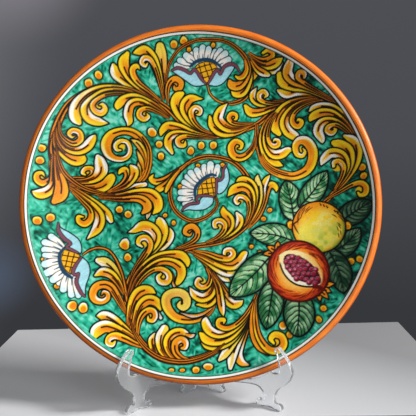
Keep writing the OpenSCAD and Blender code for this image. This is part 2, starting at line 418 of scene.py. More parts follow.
class Patch:
    """Area inside a closed smooth outline."""

    def __init__(self, points, margin=1.6):
        p = np.array(points, float)
        q = curve(np.vstack([p, p[:1]]), step=0.6)
        self.where = near(q.min(0), q.max(0), margin)
        x, y = px[self.where, None], py[self.where, None]
        a, b = q, np.roll(q, -1, axis=0)
        gap = np.hypot(x - q[None, :, 0], y - q[None, :, 1]).min(1)
        rises = (a[None, :, 1] > y) != (b[None, :, 1] > y)
        slope = (b[:, 0] - a[:, 0]) / np.where(b[:, 1] == a[:, 1], 1e-9, b[:, 1] - a[:, 1])
        crossing = x < a[None, :, 0] + (y - a[None, :, 1]) * slope[None, :]
        inside = (rises & crossing).sum(1) % 2 == 1
        self.distance = np.where(inside, -gap, gap)


def fill(points, colour, line=INK, width=0.5):
    """Patch of one colour with an outline."""
    patch = Patch(points)
    coat = np.clip(uneven(colour, streaks[patch.where]), 0, 1)
    lay(patch.where, edge(patch.distance), coat, THIN)
    lay(patch.where, edge(np.abs(patch.distance) - width), line, BOLD_LINE)
    return patch


# Ground: mottled green, with painted shade that darkens it towards the right
def ground():
    """Wash of brush marks in three directions, with a few darker and paler places."""
    way = clouds(13, seed=18)
    first, second = ramp(0.38, 0.46, way), ramp(0.54, 0.62, way)
    shares = (1 - first, first * (1 - second), second)
    brush = sum(share * clouds(1.3, seed, stretch=3.2, angle=angle)
                for share, seed, angle in zip(shares, (13, 14, 19), (20, 80, -40)))
    wash = 0.34 * clouds(7, seed=11) + 0.26 * clouds(2.6, seed=12) + 0.40 * brush
    # Painted shade: the last term darkens the wash towards the right of the face
    wash = 0.57 + 1.35 * (wash - 0.5) - 0.24 * ramp(40, 140, px + 0.2 * py)
    for x, y, reach, more in ((12, -122, 50, -0.13), (5, 122, 40, 0.16), (-75, -4, 45, -0.12)):
        wash += more * ramp(reach, 0, np.hypot(px - x, py - y))
    paint[:] = toned(wash, [(0.1, "04281F"), (0.32, "0F6E56"), (0.5, "22A584"),
                            (0.66, "42C0A0"), (0.9, "8CDEC8")])


def ground_line():
    """The white line's inner part and its dark edge, where the hand strayed inwards."""
    turn = np.arctan2(py, px)
    line_r = prho - sum(size * np.sin(times * turn + start) for times, start, size in WANDER)
    everywhere = np.arange(len(px))
    lay(everywhere, edge(INNER_LINE - line_r, soft=0.3), INK, MARK)
    lay(everywhere, edge(WHITE_FROM - line_r, soft=0.3), WHITE, THIN)


def stems():
    """Dark main stems, from which the leaves spring."""
    stem([(-121, 23, 0.8), (-123.5, 32, 2.6), (-124, 42, 3.8), (-122, 58, 3.6), (-115, 75, 2.8),
          (-106, 86, 2.2), (-90, 96, 2), (-75, 99, 2), (-60, 97, 2), (-45, 91, 2.4), (-30, 82, 2.6),
          (-18, 70, 2.6), (-5, 61, 2.6), (10, 57, 2.6), (25, 57.5, 2.6), (40, 63, 2.6), (50, 68, 2.6),
          (62, 78, 2.4), (75, 86, 2.4), (95, 88, 2.6), (110, 82, 2.8), (122, 70, 3), (130, 57, 2.6),
          (134, 50, 1.5)])
    stem([(-121.5, 60, 0.8), (-123.8, 50, 2), (-123.5, 39, 3), (-118, 20, 3), (-105, 12, 2.6),
          (-90, 8, 2.4), (-78, 6, 2.2), (-65, 9, 2), (-55, 13, 2.4), (-48, 22, 3), (-44, 32, 2.5)])
    stem([(-35, -47, 2.2), (-46, -50, 2.8), (-56, -58, 3), (-62, -70, 3), (-63, -84, 3), (-60, -98, 3),
          (-54, -112, 3.2), (-45, -122, 3.2), (-33, -129, 3.2), (-18, -131.5, 3), (-4, -129.5, 2.8),
          (8, -125, 2.6), (18, -118, 2.6), (28, -108, 3), (36, -97, 3), (42, -86, 2.4), (45, -79, 1.4)])
    stem([(-20, -42, 1.6), (-8, -42, 2), (0, -48, 2.4), (5, -57, 2.8), (9, -68, 2.8), (11, -79, 2.2),
          (8, -89, 1.8), (2, -95, 1.6)])
    stem([(-99, -44, 1), (-94, -40.5, 1.3), (-87, -38.5, 1.4), (-79, -40.5, 1.5), (-73, -47, 1.6),
          (-68, -58, 1.8), (-65, -70, 2), (-63, -82, 2)], lights=1)
    stem([(48, 66, 1.6), (48, 52, 2.4), (50.5, 39, 2.4)])
    stem([(112, 6, 2.4), (106, 0, 2), (101, -3, 1.2)])


def top_left_leaves():
    """Leaves that spring from the stem along the top left."""
    finger([(-36, 85, 0.8), (-48, 92.5, 1.4), (-58, 99, 2.2), (-66, 104, 3.2), (-72, 109, 4),
            (-74, 114.5, 1.8)], "w")
    finger([(-35, 86, 0.8), (-47, 94.5, 1.4), (-57, 102, 2), (-63, 109, 2.8), (-65.5, 117, 3.8),
            (-62, 124.5, 1.8)])
    finger([(-34, 87, 0.8), (-44, 95.5, 1.2), (-53, 102, 1.6), (-57.5, 108, 2), (-58, 113, 2),
            (-54.5, 115.5, 1.6), (-52, 113, 0.6)], vein=(0.05, 0.6))
    finger([(-40, 88, 0.8), (-60, 96, 1.4), (-80, 97, 1.8), (-95, 90.5, 2.8), (-104, 80.5, 4.2),
            (-106, 71.5, 4.2), (-103, 66.5, 2)], "w", vein=(0.1, 0.86))
    finger([(-42, 87, 0.8), (-62, 94.5, 1.4), (-80, 94, 1.8), (-91, 87, 2.6), (-97, 78.5, 3.8),
            (-94.5, 71.5, 4), (-87, 68.5, 3), (-79, 67.5, 0.5)], "ne n", vein=(0.1, 0.78))
    curl([(-45, 86.5, 0.8), (-64, 92.5, 1.2), (-79, 91.5, 1.4), (-88, 87, 1.6), (-92, 82, 2),
          (-90, 77.3, 2.4), (-85, 75.8, 2.6), (-81.8, 79.2, 2.4), (-83.5, 83, 1.6), (-86.5, 82.5, 0.8)],
         "n")
    finger([(-26, 73, 0.8), (-40, 84, 1.8), (-55, 90, 2.6), (-65, 88.5, 2.8), (-70.5, 83.5, 2.8),
            (-71.5, 80.3, 1.4)])
    finger([(-26, 72, 0.8), (-40, 81, 1.6), (-52, 86.5, 2.4), (-60, 84, 3), (-62.5, 76, 3.2),
            (-61.3, 69.5, 2.4), (-63, 65.5, 0.6)], "w")
    curl([(-26, 71.5, 0.8), (-38, 78, 1.4), (-46, 81, 1.8), (-52, 79, 2.2), (-53, 74.5, 2.4),
          (-49, 71.5, 2.4), (-45.2, 73.5, 1.8), (-46.5, 76.5, 0.8)], "e")
    finger([(-31, 89, 0.8), (-32.5, 104, 1.8), (-33, 116, 3.2), (-34, 125, 4), (-34.5, 131, 3.4)],
           pale=0.5)
    finger([(-32, 87, 0.8), (-34, 100, 1.6), (-37, 112, 2.6), (-41, 122, 3.2), (-47, 127.5, 3.2),
            (-53, 126.5, 2.2), (-57.5, 125, 0.6)])
    curl([(-32.5, 91, 0.8), (-35.5, 104, 1.4), (-38.5, 114, 1.6), (-43, 121, 2), (-48, 122, 2.2),
          (-50.5, 118.5, 2), (-47.5, 116, 1.6), (-45.5, 118, 1)], "w s")
    curl([(-28, 84, 0.8), (-29, 95, 1.6), (-27, 103, 2.2), (-22, 106.5, 2.4), (-17, 103.5, 2.4),
          (-18, 98.5, 2.2), (-22, 98, 1.8), (-23, 100.5, 1)], tone=ORANGE)
    finger([(12, 56, 0.8), (-4, 63, 1.8), (-16, 74, 3.4), (-21, 84, 4.2), (-20, 91, 3.6), (-16, 94, 2)])
    finger([(12, 57, 0.8), (-2, 64, 1.6), (-11, 73.5, 3), (-14, 82.5, 3.6), (-9, 89.5, 3.2),
            (2, 89.5, 0.6)])
    curl([(11, 58, 0.8), (0, 63, 1.4), (-6.5, 70, 2), (-8.5, 77.5, 2.4), (-5, 82, 2.2), (-0.5, 80, 2),
          (-1, 76, 1.6), (-4, 75.5, 0.9)], "e s")
    finger([(14, 55.5, 0.8), (-4, 58.5, 1.8), (-18, 64, 2.8), (-28, 66, 2.8), (-33, 62, 2.4),
            (-34.5, 58, 1.4)])
    finger([(14, 55, 0.8), (-4, 57, 1.4), (-18, 59, 2.2), (-26.5, 56.5, 2.8), (-28.5, 49.5, 2.8),
            (-25, 42, 1.6)], "s")
    curl([(10, 54.5, 0.8), (-4, 55.5, 1.2), (-14, 56.5, 1.8), (-20, 53.5, 2.2), (-19, 49, 2.2),
          (-14.5, 48.5, 1.8), (-13.5, 52, 1)], "sw")


def top_right_leaves():
    """Leaves round the top flower and along the top right."""
    finger([(40, 122, 1), (42.5, 112, 1.8), (41, 103, 2.4), (36, 95, 3), (30, 93.5, 2.4), (27, 96, 1.2)])
    finger([(39, 124, 1), (41, 114, 1.8), (38.5, 106, 2.4), (33, 100.5, 3), (27, 101, 3),
            (25, 104.5, 1.6)], tone=ORANGE)
    finger([(38, 122, 0.8), (39.5, 114, 1.4), (37, 108.5, 1.6), (33, 107, 1.4), (30, 108.5, 1)],
           vein=None)
    finger([(43, 125, 1), (46, 118, 1.6), (47.5, 111, 1.8), (46, 105, 0.6)], vein=None)
    curl([(40, 127, 1), (47, 122, 1.8), (54, 119.8, 2.3), (60, 121.5, 2.3), (61, 125, 1.8),
          (57, 127.5, 1.8), (53, 125.8, 1.5)])
    finger([(50, 117, 1.2), (56, 113.5, 2), (63, 112, 2.6), (69, 117, 1.2)], "s se")
    finger([(42, 124, 1), (50, 117.5, 1.8), (57, 115.5, 2.4), (64, 117.5, 3), (69, 120.5, 1)])
    finger([(43, 121, 1), (48, 114, 1.8), (53, 110.5, 2.4), (58, 108.5, 1.8)], "se s")
    finger([(45, 66.5, 1), (30, 60, 2.2), (18, 60, 3.4), (10, 66, 3), (7.5, 74, 1.2)])
    finger([(45, 67, 1), (32, 63, 2), (22, 64, 3.2), (15, 71, 3.6), (17, 79, 3), (22.5, 85, 0.8)], "e")
    curl([(46, 68, 0.8), (36, 67, 1.3), (28, 68, 1.8), (24, 72, 2), (26, 76, 2), (30, 75.5, 1.8),
          (30.5, 72, 1.4), (28, 70.5, 1)])
    finger([(80, 87.5, 0.8), (66, 86, 1.4), (54, 84.5, 2), (47, 87.5, 2.6), (45, 93, 2.4),
            (48.3, 99, 0.5)], "n e")
    curl([(78, 87, 0.8), (66, 85, 1.2), (57, 85.5, 1.6), (51, 88.5, 2), (50.5, 93, 2.2), (54, 95.2, 2.2),
          (57, 92.5, 1.8), (55, 90, 1)], "e")
    finger([(76, 85, 0.8), (62, 81, 1.6), (51, 77.5, 2.4), (43, 77.5, 3.2), (38.5, 83, 1.8)])
    finger([(116, 78, 0.8), (105, 87, 1.5), (93, 92, 2), (82, 93.5, 2.8), (73, 92.5, 3.2),
            (66.5, 95.5, 1.4)], "w sw")
    finger([(114, 81, 0.8), (102, 89, 1.4), (90, 95, 2), (79, 97.5, 2.6), (70.5, 102, 3.6),
            (67.5, 108, 2.6)])
    finger([(112, 84, 0.8), (99, 92, 1.4), (88, 98, 2), (79, 102.5, 2.8), (74, 109, 3.4),
            (75.5, 116.5, 2.8), (76.5, 119.5, 1)], "n ne", tone=ORANGE)
    curl([(108, 87, 0.8), (97, 94, 1.2), (88, 100, 1.6), (82.5, 105, 2), (84, 108.8, 2), (88, 107, 1.8),
          (87.5, 103.8, 1.2), (85.5, 104.3, 0.7)], "e", tone=ORANGE)
    finger([(98, 88, 0.8), (84, 86.5, 1.6), (73, 82.5, 2.4), (66, 74, 3.4), (64, 65, 4), (67, 58.5, 2.2)])
    finger([(100, 87, 0.8), (87, 84.5, 1.5), (77, 78.5, 2.2), (72, 69, 3.4), (75, 60.5, 3.8),
            (81.5, 55.5, 3), (84.5, 51, 1)], "e")
    curl([(103, 85, 0.8), (91, 82.5, 1.2), (82, 77.5, 1.6), (78.5, 71, 2), (80, 66, 2.2), (84, 64.5, 2.2),
          (86.5, 68, 2), (84, 70.5, 1.4), (82.5, 69, 0.8)])
    finger([(129, 56, 0.8), (122, 68, 1.6), (113, 77, 2.2), (104, 80, 2.6), (96.5, 79.5, 2.2),
            (93, 77, 1)], "nw n")
    finger([(129, 54, 0.8), (121, 65, 1.6), (112, 73, 2.2), (103, 75, 2.8), (96, 72.5, 2.8),
            (93.5, 69, 1.2)])
    finger([(129, 52, 0.8), (120, 62, 1.6), (111, 67.5, 2.2), (103, 66.5, 3), (100, 60, 3.4),
            (103, 53, 2.4), (103.5, 49.5, 0.8)], "w e")
    curl([(129, 50, 0.8), (122, 58, 1.2), (115, 63.5, 1.6), (109, 63, 2), (107.5, 59.5, 2.2),
          (111, 57, 2.2), (114, 59.5, 1.6), (112.5, 61.5, 0.8)], "s")


def left_leaves():
    """Leaves and the large spiral at the left."""
    curl([(-126, 35, 1), (-125, 22, 1.8), (-127, 17, 2.4), (-132, 14.5, 2.6), (-136, 17, 2.4),
          (-136, 21.5, 2), (-132.5, 23, 1.6), (-130.5, 20.5, 0.9)])
    finger([(-124, 40, 1), (-123.5, 25, 2), (-124, 14, 2.6), (-128, 8, 3.4), (-134, 5.5, 3.4),
            (-139, 7, 1)], "nw n")
    finger([(-122, 40, 1), (-120, 25, 2.4), (-117.5, 14, 4), (-118, 6, 4.6), (-123, -0.5, 2.2)],
           tone=ORANGE)
    finger([(-123, 58, 0.8), (-121, 46, 1.8), (-114, 38.5, 2.8), (-107, 35, 3.6), (-101, 36, 3),
            (-99, 39, 1)])
    finger([(-121, 62, 0.8), (-119, 52, 1.4), (-113, 45, 2.2), (-104.5, 43.5, 3), (-97, 47.5, 3.6),
            (-92.5, 53.5, 2.8), (-90, 57.5, 0.6)], "n nw")
    curl([(-119, 68, 0.8), (-118, 57, 1.2), (-113, 51.2, 1.8), (-107, 49.2, 2.2), (-102, 53, 2.4),
          (-103, 58.5, 2.4), (-108, 60, 2.2), (-111.2, 57, 1.8), (-109, 54.3, 1.2), (-106.5, 55.5, 0.7)],
         "s")
    spiral = [(-58, 14, 2.6), (-50, 22, 4), (-46.5, 34, 4.5), (-47, 46, 4.2), (-52, 55, 3.8),
              (-60, 60.5, 3.6), (-69, 61, 3.6), (-77, 57.5, 4.2), (-81, 50, 4.8), (-79.5, 42, 4),
              (-74, 37.5, 3), (-67, 36.8, 2.6), (-62, 40, 2.4), (-60.8, 46, 2.2), (-63.5, 51.5, 2.2),
              (-69, 52.5, 2.4), (-73, 49, 2.4), (-72, 45, 2), (-68.5, 44.5, 1.2)]
    curl(spiral, "w sw", vein=(0.0, 0.5), full=0)
    for offset in (-0.5, 0.5):
        rule(part_of(spiral[:5], 0, 1, 0.7, offset))
    finger([(-47, 34, 0.8), (-49.5, 43, 1.8), (-54, 50, 2), (-60, 54, 0.6)], pale=0.5)
    finger([(-49, 27, 0.6), (-51.5, 36, 1.4), (-55, 44.5, 0.6)], pale=0.6, vein=None)
    finger([(-51.5, 22, 0.6), (-53, 29, 1.1), (-54.2, 34.5, 0.5)], pale=0.8, vein=None)
    curl([(-115, 20, 1), (-105, 20, 1.4), (-97, 20, 2), (-92, 24, 2.2), (-93, 28.5, 2), (-98, 28.5, 2),
          (-100.5, 25, 1.8), (-98, 23, 1)], "w")
    finger([(-113, 18, 1), (-100, 17.5, 1.8), (-90, 20.5, 3), (-85, 27, 4.6), (-86, 34, 4), (-88, 39, 2)],
           "nw ne")
    finger([(-112, 15, 1), (-100, 12.5, 1.8), (-90, 11.5, 3), (-82, 14, 3.8), (-77, 20, 3.4),
            (-76.5, 23, 1.4)])
    finger([(-108, 12, 1), (-97, 4, 2), (-88, -3, 2.8), (-80, -10, 3), (-76.5, -16, 2)], "sw s")
    finger([(-112, 13, 1), (-100, 3, 2), (-91, -5, 3), (-86, -13, 3.6), (-88, -22, 3.6), (-96, -31, 0.8)],
           "w")
    curl([(-110, 10, 1), (-100, 0, 1.6), (-94, -7, 2), (-93.5, -14, 2.4), (-98, -18.5, 2.6),
          (-103, -16.5, 2.2), (-103.5, -12.5, 1.8), (-99.5, -12.5, 1)])
    finger([(-88, 6, 1), (-70, 8, 1.8), (-58, 12, 2.6), (-48, 15, 2)], "e n")
    finger([(-80, 8, 1), (-68, 15, 1.6), (-63, 22, 2), (-64.5, 27.5, 2), (-68, 27, 1.8),
            (-70, 24.5, 1.2)])
    finger([(-76, 9, 1), (-64, 14, 1.8), (-58, 21, 2.6), (-57, 27, 3), (-60, 31, 1.4)], "n")
    finger([(-88, 5, 1), (-70, 5.5, 1.6), (-55, 8, 2.6), (-44, 7, 3.6), (-38, 2, 3.6), (-37, -5, 3),
            (-41, -10, 1)])
    finger([(-43, -2, 0.8), (-45, -9, 1.6), (-46.5, -15, 0.6)], "w e", vein=None)
    finger([(-88, 4, 1), (-70, 2.5, 1.6), (-55, 3, 2.4), (-48, 0, 3), (-46, -5, 3), (-50, -9.5, 1.4)],
           tone=ORANGE)
    stem([(-121.5, 46, 0.7), (-119.5, 35, 1.5), (-115.5, 25, 2), (-108, 17.5, 2.1), (-98, 11.5, 1.9),
          (-86, 8, 1.5), (-74, 6, 0.7)])


def centre_ring():
    """Ring of stem round the middle flower, with the leaves on it."""
    stem([(12, 3, 1.3), (13, -3, 1.5), (9, -9, 1.7), (2, -14, 1.8), (-7, -16.5, 1.9), (-15, -14, 2),
          (-22, -8, 2), (-26, 0, 2), (-27, 9, 2), (-24, 19, 2), (-17, 28, 2.1), (-8, 35, 2.2),
          (3, 38.5, 2.2), (14, 38, 2.2), (25, 35, 2.2), (33, 29, 2.4), (39, 21, 2.5), (44, 12, 2.5),
          (45.5, 2, 2.6), (44, -8, 2.6), (38.5, -19, 2.6), (30, -27, 2.4), (20, -33, 2.2), (8, -36, 2.2),
          (-6, -38, 2.2), (-20, -42, 2.4), (-35, -47, 2.6)])
    finger([(-8, 35.5, 0.8), (-20, 27, 1.4), (-30, 19.5, 2), (-38, 17, 2.2), (-43, 19.5, 1.8),
            (-41, 23.5, 0.8)])
    finger([(-12, 33, 0.8), (-22, 24, 1.4), (-29, 16, 1.8), (-36, 11, 2.4), (-40, 9.5, 1.2)])
    finger([(-18, 28, 0.8), (-25, 19, 1.2), (-29, 12, 1.4), (-30.5, 8.5, 1.2)], vein=None)
    finger([(38, -24, 0.8), (47, -14, 1.6), (52, -3, 2), (55, 7, 2), (57, 12.5, 2.2), (60.5, 14.3, 2.2),
            (63.5, 11.5, 1.8), (63.5, 8, 0.6)])
    finger([(41, -20, 0.8), (48, -8, 1.6), (51.5, 3, 2), (52.5, 12, 2), (55, 18, 2), (58, 22, 1)], "e")
    finger([(40, -20, 0.8), (46, -8, 1.6), (49, 2, 2), (49, 12, 2.2), (47.5, 19, 1.8), (48, 22.5, 0.8)],
           pale=0.8)
    finger([(40, -17, 0.8), (44.5, -4, 1.6), (45.5, 7, 2.2), (43, 14, 2.6), (38, 18, 2.6),
            (33, 18.5, 2.2), (29.5, 16, 0.8)])
    finger([(38, -20, 0.8), (42, -8, 1.6), (43, 3, 2.2), (40, 10, 2.8), (34, 12.5, 3.2), (27, 10, 3),
            (22, 4.3, 0.6)])
    curl([(37, -20, 0.8), (40, -8, 1.5), (39.5, -0.5, 1.8), (36, 3.5, 2), (31.5, 4.2, 2), (28.7, 1.3, 2),
          (30, -1.8, 1.6), (32.2, -1, 0.8)], "s w")
    finger([(8, -34, 0.8), (22, -28.5, 1.6), (30, -21.5, 2.4), (32, -15, 2.6), (29.5, -10, 1.4)], "n w")
    finger([(5, -34.5, 0.8), (17, -29, 1.6), (23.5, -22, 2.4), (23.5, -15, 2.8), (18.7, -9.5, 2.6),
            (18, -4.5, 0.8)])
    curl([(2, -35.5, 0.8), (12, -31, 1.4), (18, -25.5, 1.8), (19.3, -19.7, 2), (15.5, -16.3, 2.2),
          (11, -17.5, 2.2), (10.6, -21.3, 1.8), (13, -22.3, 0.8)], "s w")
    curl([(-25, -41, 0.8), (-12, -36, 1.4), (-5, -31, 2), (-4, -25, 2.2), (-8, -21, 2.4),
          (-13, -22.5, 2.2), (-14.5, -26.5, 1.8), (-10.5, -28.5, 1.2), (-8.5, -26, 0.8)], tone=ORANGE)
    curl([(47, 58, 1), (45, 48, 2), (39, 40, 2.8), (32, 37.5, 3), (26.5, 41, 3), (25.5, 47.5, 2.8),
          (29.5, 52, 2.4), (34.5, 50, 2), (34, 46, 1.4), (31.5, 45.5, 0.8)])


def middle_leaves():
    """Leaves left of the middle, under the ring."""
    finger([(-58, -66, 0.8), (-48, -52, 1.4), (-38, -42, 2), (-30, -34.5, 2.8), (-26.5, -28, 2.6),
            (-27.5, -22.5, 1)], "e")
    finger([(-60, -70, 0.8), (-52, -54, 1.4), (-42, -42, 2.2), (-34.5, -32, 3), (-33, -24, 3.8),
            (-35, -18, 3.6), (-36, -14.5, 1.8)], "n")
    finger([(-62, -72, 0.8), (-57, -58, 1.4), (-49, -46, 2), (-40.5, -36, 2.8), (-38.5, -28.5, 3.4),
            (-43, -22.5, 3.8), (-50, -20.5, 3.6), (-57, -24, 2), (-62.5, -25.8, 0.4)], "w",
           vein=(0.1, 0.72))
    curl([(-61, -70, 0.8), (-55, -56, 1.3), (-48, -46.5, 1.6), (-44, -40, 2), (-43.5, -34.5, 2.2),
          (-47, -30.3, 2.4), (-52, -31, 2.4), (-53.7, -35, 2), (-50.5, -37.8, 1.2)], "s")
    finger([(-63, -80, 0.8), (-57, -64, 1.4), (-48, -53, 1.8), (-38, -46.5, 2.2), (-28, -44.5, 2.6),
            (-18, -45, 2.8), (-13, -50, 2.4), (-12.5, -54, 1.4)])
    finger([(-62, -82, 0.8), (-55, -66, 1.4), (-45, -55.5, 1.8), (-35, -50.5, 2.2), (-26, -50.8, 2.6),
            (-19, -55, 3.2), (-17.5, -61, 3), (-20, -67, 2.2), (-23, -70.5, 0.8)])
    white_tip([(-26, -58, 0.4), (-24.5, -63, 1.2), (-25, -68, 1.2), (-22.5, -73, 1.4), (-20, -75.5, 0.5)],
              "w e")
    curl([(-61, -84, 0.8), (-53, -68, 1.4), (-44, -59, 1.8), (-36, -56.5, 2), (-30, -59, 2.4),
          (-27.8, -63.5, 2.6), (-30, -67.5, 2.6), (-35, -67.5, 2.4), (-37.3, -63.5, 2),
          (-35, -60.8, 1.4)], "w sw")
    finger([(-66, -75, 1), (-70, -64, 2), (-75, -56, 3), (-81, -51, 3.6), (-87, -49, 2.4)], "w sw",
           pale=0.7)
    finger([(-65, -78, 1), (-70, -68, 2), (-76, -61, 2.8), (-83, -58.5, 3), (-89, -61.5, 1.2)], "w nw")
    curl([(-62, -95, 1), (-66, -88, 2), (-71, -79, 2.8), (-76, -71.5, 3.2), (-82, -69, 3.2),
          (-88, -71, 3.2), (-90.5, -76.5, 3), (-88.5, -81.5, 2.8), (-83, -83, 2.4), (-78.8, -80.5, 2.2),
          (-78.8, -76.5, 1.8), (-82, -75, 1.4), (-83.5, -77.5, 0.8)], "n", tone=ORANGE)
    finger([(-62, -104, 1), (-60, -92, 2.4), (-57, -82, 3.6), (-52, -75.5, 3.8), (-45, -74, 3),
            (-39.5, -76.5, 0.8)])
    finger([(-58, -108, 1), (-55, -95, 2.2), (-51, -86, 3.2), (-45, -82, 3.4), (-38.5, -84, 3),
            (-35.5, -90, 1.4)])
    white_tip([(-41, -87.5, 0.6), (-38, -92, 1.6), (-35, -97, 1.8)], "w e")
    curl([(-54, -112, 1), (-53, -101, 1.8), (-50, -94, 2.4), (-45, -90.5, 2.4), (-40.8, -91.5, 2.2),
          (-39.5, -95.5, 2.2), (-41.5, -99, 2), (-45, -98.5, 1.6), (-45.5, -95.5, 1)], "e")
    finger([(-6, -45.5, 0.8), (4, -53, 1.8), (12, -60, 2.6), (18, -64.5, 2.4), (22.5, -67.5, 0.8)],
           "s sw", pale=0.5)
    finger([(-8, -44.5, 0.8), (4, -50.5, 2.2), (14, -57, 3), (22, -60.5, 2.8), (29, -60, 1.2)], "s",
           pale=0.4)
    finger([(-10, -42.5, 0.8), (2, -46.5, 2.2), (14, -52, 3.2), (24, -54.5, 3.2), (31, -51, 3),
            (35, -45, 2.4), (38, -43.5, 0.6)], "e")
    curl([(-8, -41.5, 0.8), (4, -44, 1.8), (14, -47.7, 2.4), (22, -48.5, 2.4), (26, -45, 2.4),
          (24, -41.3, 2.2), (19.7, -41.5, 2), (18.5, -44.7, 1.4), (20.5, -45.8, 0.7)], "w nw")


def lower_leaves():
    """Leaves along the bottom, with the spiral left of the stem."""
    curl([(10, -84, 1.4), (6, -92, 2.2), (-3, -97.5, 2.8), (-13, -99, 3), (-23, -96.5, 3.2),
          (-29.5, -89, 3.6), (-30.5, -81, 3.8), (-26, -77, 3.6), (-19, -76.5, 3.4), (-14, -80, 3.4),
          (-13.5, -86, 3.2), (-16.5, -89, 2.6), (-20, -87, 2), (-19, -84, 1.2)], vein=(0.05, 0.36),
         pale=0.6)
    white_tip([(8, -89, 0.8), (0, -94, 1.4), (-9, -95.8, 1.7), (-19, -93, 0.7)], "n s")
    finger([(6, -57, 0.8), (11, -70, 1.8), (10, -80, 2.4), (4, -86, 2.6), (-5.5, -86.5, 0.8)])
    finger([(5, -56, 0.8), (9, -68, 1.8), (7, -77, 2.8), (0, -81, 3.2), (-7, -78, 2.8), (-11, -72, 0.6)],
           "n nw")
    curl([(3, -55, 0.8), (6.5, -63, 1.6), (4.7, -70, 2), (-0.5, -72.3, 2.2), (-4.8, -69.3, 2.2),
          (-3.5, -65.2, 1.8), (-0.7, -66.2, 0.9)], "n nw")
    finger([(9, -60, 0.8), (16, -71, 1.6), (21, -78, 2), (25.5, -81.5, 1.2)])
    finger([(8, -59, 0.8), (14.5, -72, 2), (20, -82, 2.8), (25, -86.5, 3), (30, -86, 2.4),
            (33.5, -83.5, 0.6)], "n")
    finger([(7, -60, 0.8), (13, -72, 1.8), (15, -84, 2.4), (16, -91, 2), (17, -96, 0.7)], "e")
    finger([(43, -85, 0.8), (37, -103, 1.8), (31, -117, 2.4), (28, -126, 2.8), (30, -132.5, 2.6),
            (36, -135, 0.7)], "e", tone=ORANGE)
    finger([(42.5, -86, 0.8), (34, -106, 1.8), (27, -120, 2.4), (22.5, -130, 2.8), (21, -137, 1.8)],
           "s w e", pale=0.7)
    finger([(42, -86, 0.8), (33, -106, 1.6), (24, -118.5, 2.2), (17, -126.5, 2.6), (12.5, -131, 1.4)],
           "w sw", pale=0.5)
    finger([(42, -85, 0.8), (33, -103.5, 1.8), (23, -115.5, 2.2), (12, -120.5, 2.4), (3, -120.5, 1.8),
            (-2, -117.5, 0.6)])
    finger([(42.5, -84, 0.8), (34, -100.5, 1.8), (24, -111.5, 2.4), (13, -116, 3), (3, -114.5, 3.6),
            (-2.5, -110, 1.4)])
    finger([(43, -83, 0.8), (34.5, -98, 1.8), (24, -107.5, 2.2), (13, -111, 2.6), (5, -107.5, 3.2),
            (2, -101.5, 3), (2.5, -97.3, 1)], "n e")
    curl([(44, -82, 0.8), (36, -95, 1.6), (27, -103.5, 1.8), (19, -106.3, 2), (12.7, -103.8, 2),
          (13.2, -99.6, 2), (17.4, -99.4, 1.8), (17, -102.3, 0.9)])
    finger([(-38, -127, 1), (-41, -121, 2), (-42, -115, 2.6), (-40, -110.5, 1.8)], "n")
    finger([(-28, -130, 1), (-34, -122, 2.6), (-35, -113, 3.6), (-32, -106, 3.4)], "nw w", pale=0.4)
    finger([(-18, -131, 1), (-26, -126, 2.2), (-29, -117, 3.2), (-25, -110.5, 3.2), (-18, -109, 3),
            (-11, -112, 1.6)], "e")
    white_tip([(-15, -110.5, 0.8), (-10, -112, 2), (-6.5, -110.5, 0.5)], "n s")
    curl([(-10, -131, 1), (-18, -129, 2), (-23, -124, 2.6), (-23, -117.5, 2.8), (-18.5, -114.5, 2.6),
          (-14.5, -117, 2.4), (-15, -121, 2), (-18, -121.5, 1.4)], "e se", tone=ORANGE)
    finger([(-56, -112, 1), (-66, -104, 2.6), (-74, -98, 3.4), (-81, -94.5, 3.2), (-86.5, -94.5, 0.8)],
           "n ne")
    finger([(-52, -116, 1), (-62, -110, 2.2), (-72, -105, 3), (-80, -103, 4), (-86, -106, 4.2),
            (-88, -111, 2.2)], "w nw")
    curl([(-46, -121, 1), (-56, -117, 2), (-64, -113, 2.6), (-71, -110.5, 2.8), (-76, -112, 2.6),
          (-77, -116, 2.2), (-73.5, -117.5, 2), (-71.5, -115, 1.2)], "s se")
    finger([(44, -82, 0.8), (41, -97, 1.6), (41, -111, 2), (45, -121, 2), (52, -127, 0.8)],
           tone=DEEP_ORANGE, vein=None)
    curl([(44.5, -82, 0.8), (43.3, -96, 1.8), (44.5, -110, 2.4), (48.5, -119, 2.8), (54, -123.8, 2.8),
          (60.5, -123.8, 2.8), (65, -119, 2.8), (63.8, -113.2, 2.8), (58.5, -111.5, 2.6),
          (55, -114.8, 2.2), (57, -118.3, 1.4)])
    stem([(-60.5, -97, 0.7), (-55.5, -110, 1.3), (-46.5, -121.3, 1.8), (-34, -129, 1.9),
          (-18, -131.8, 1.9), (-4, -129.8, 1.7), (8, -125, 1.3), (17, -118.5, 0.7)])


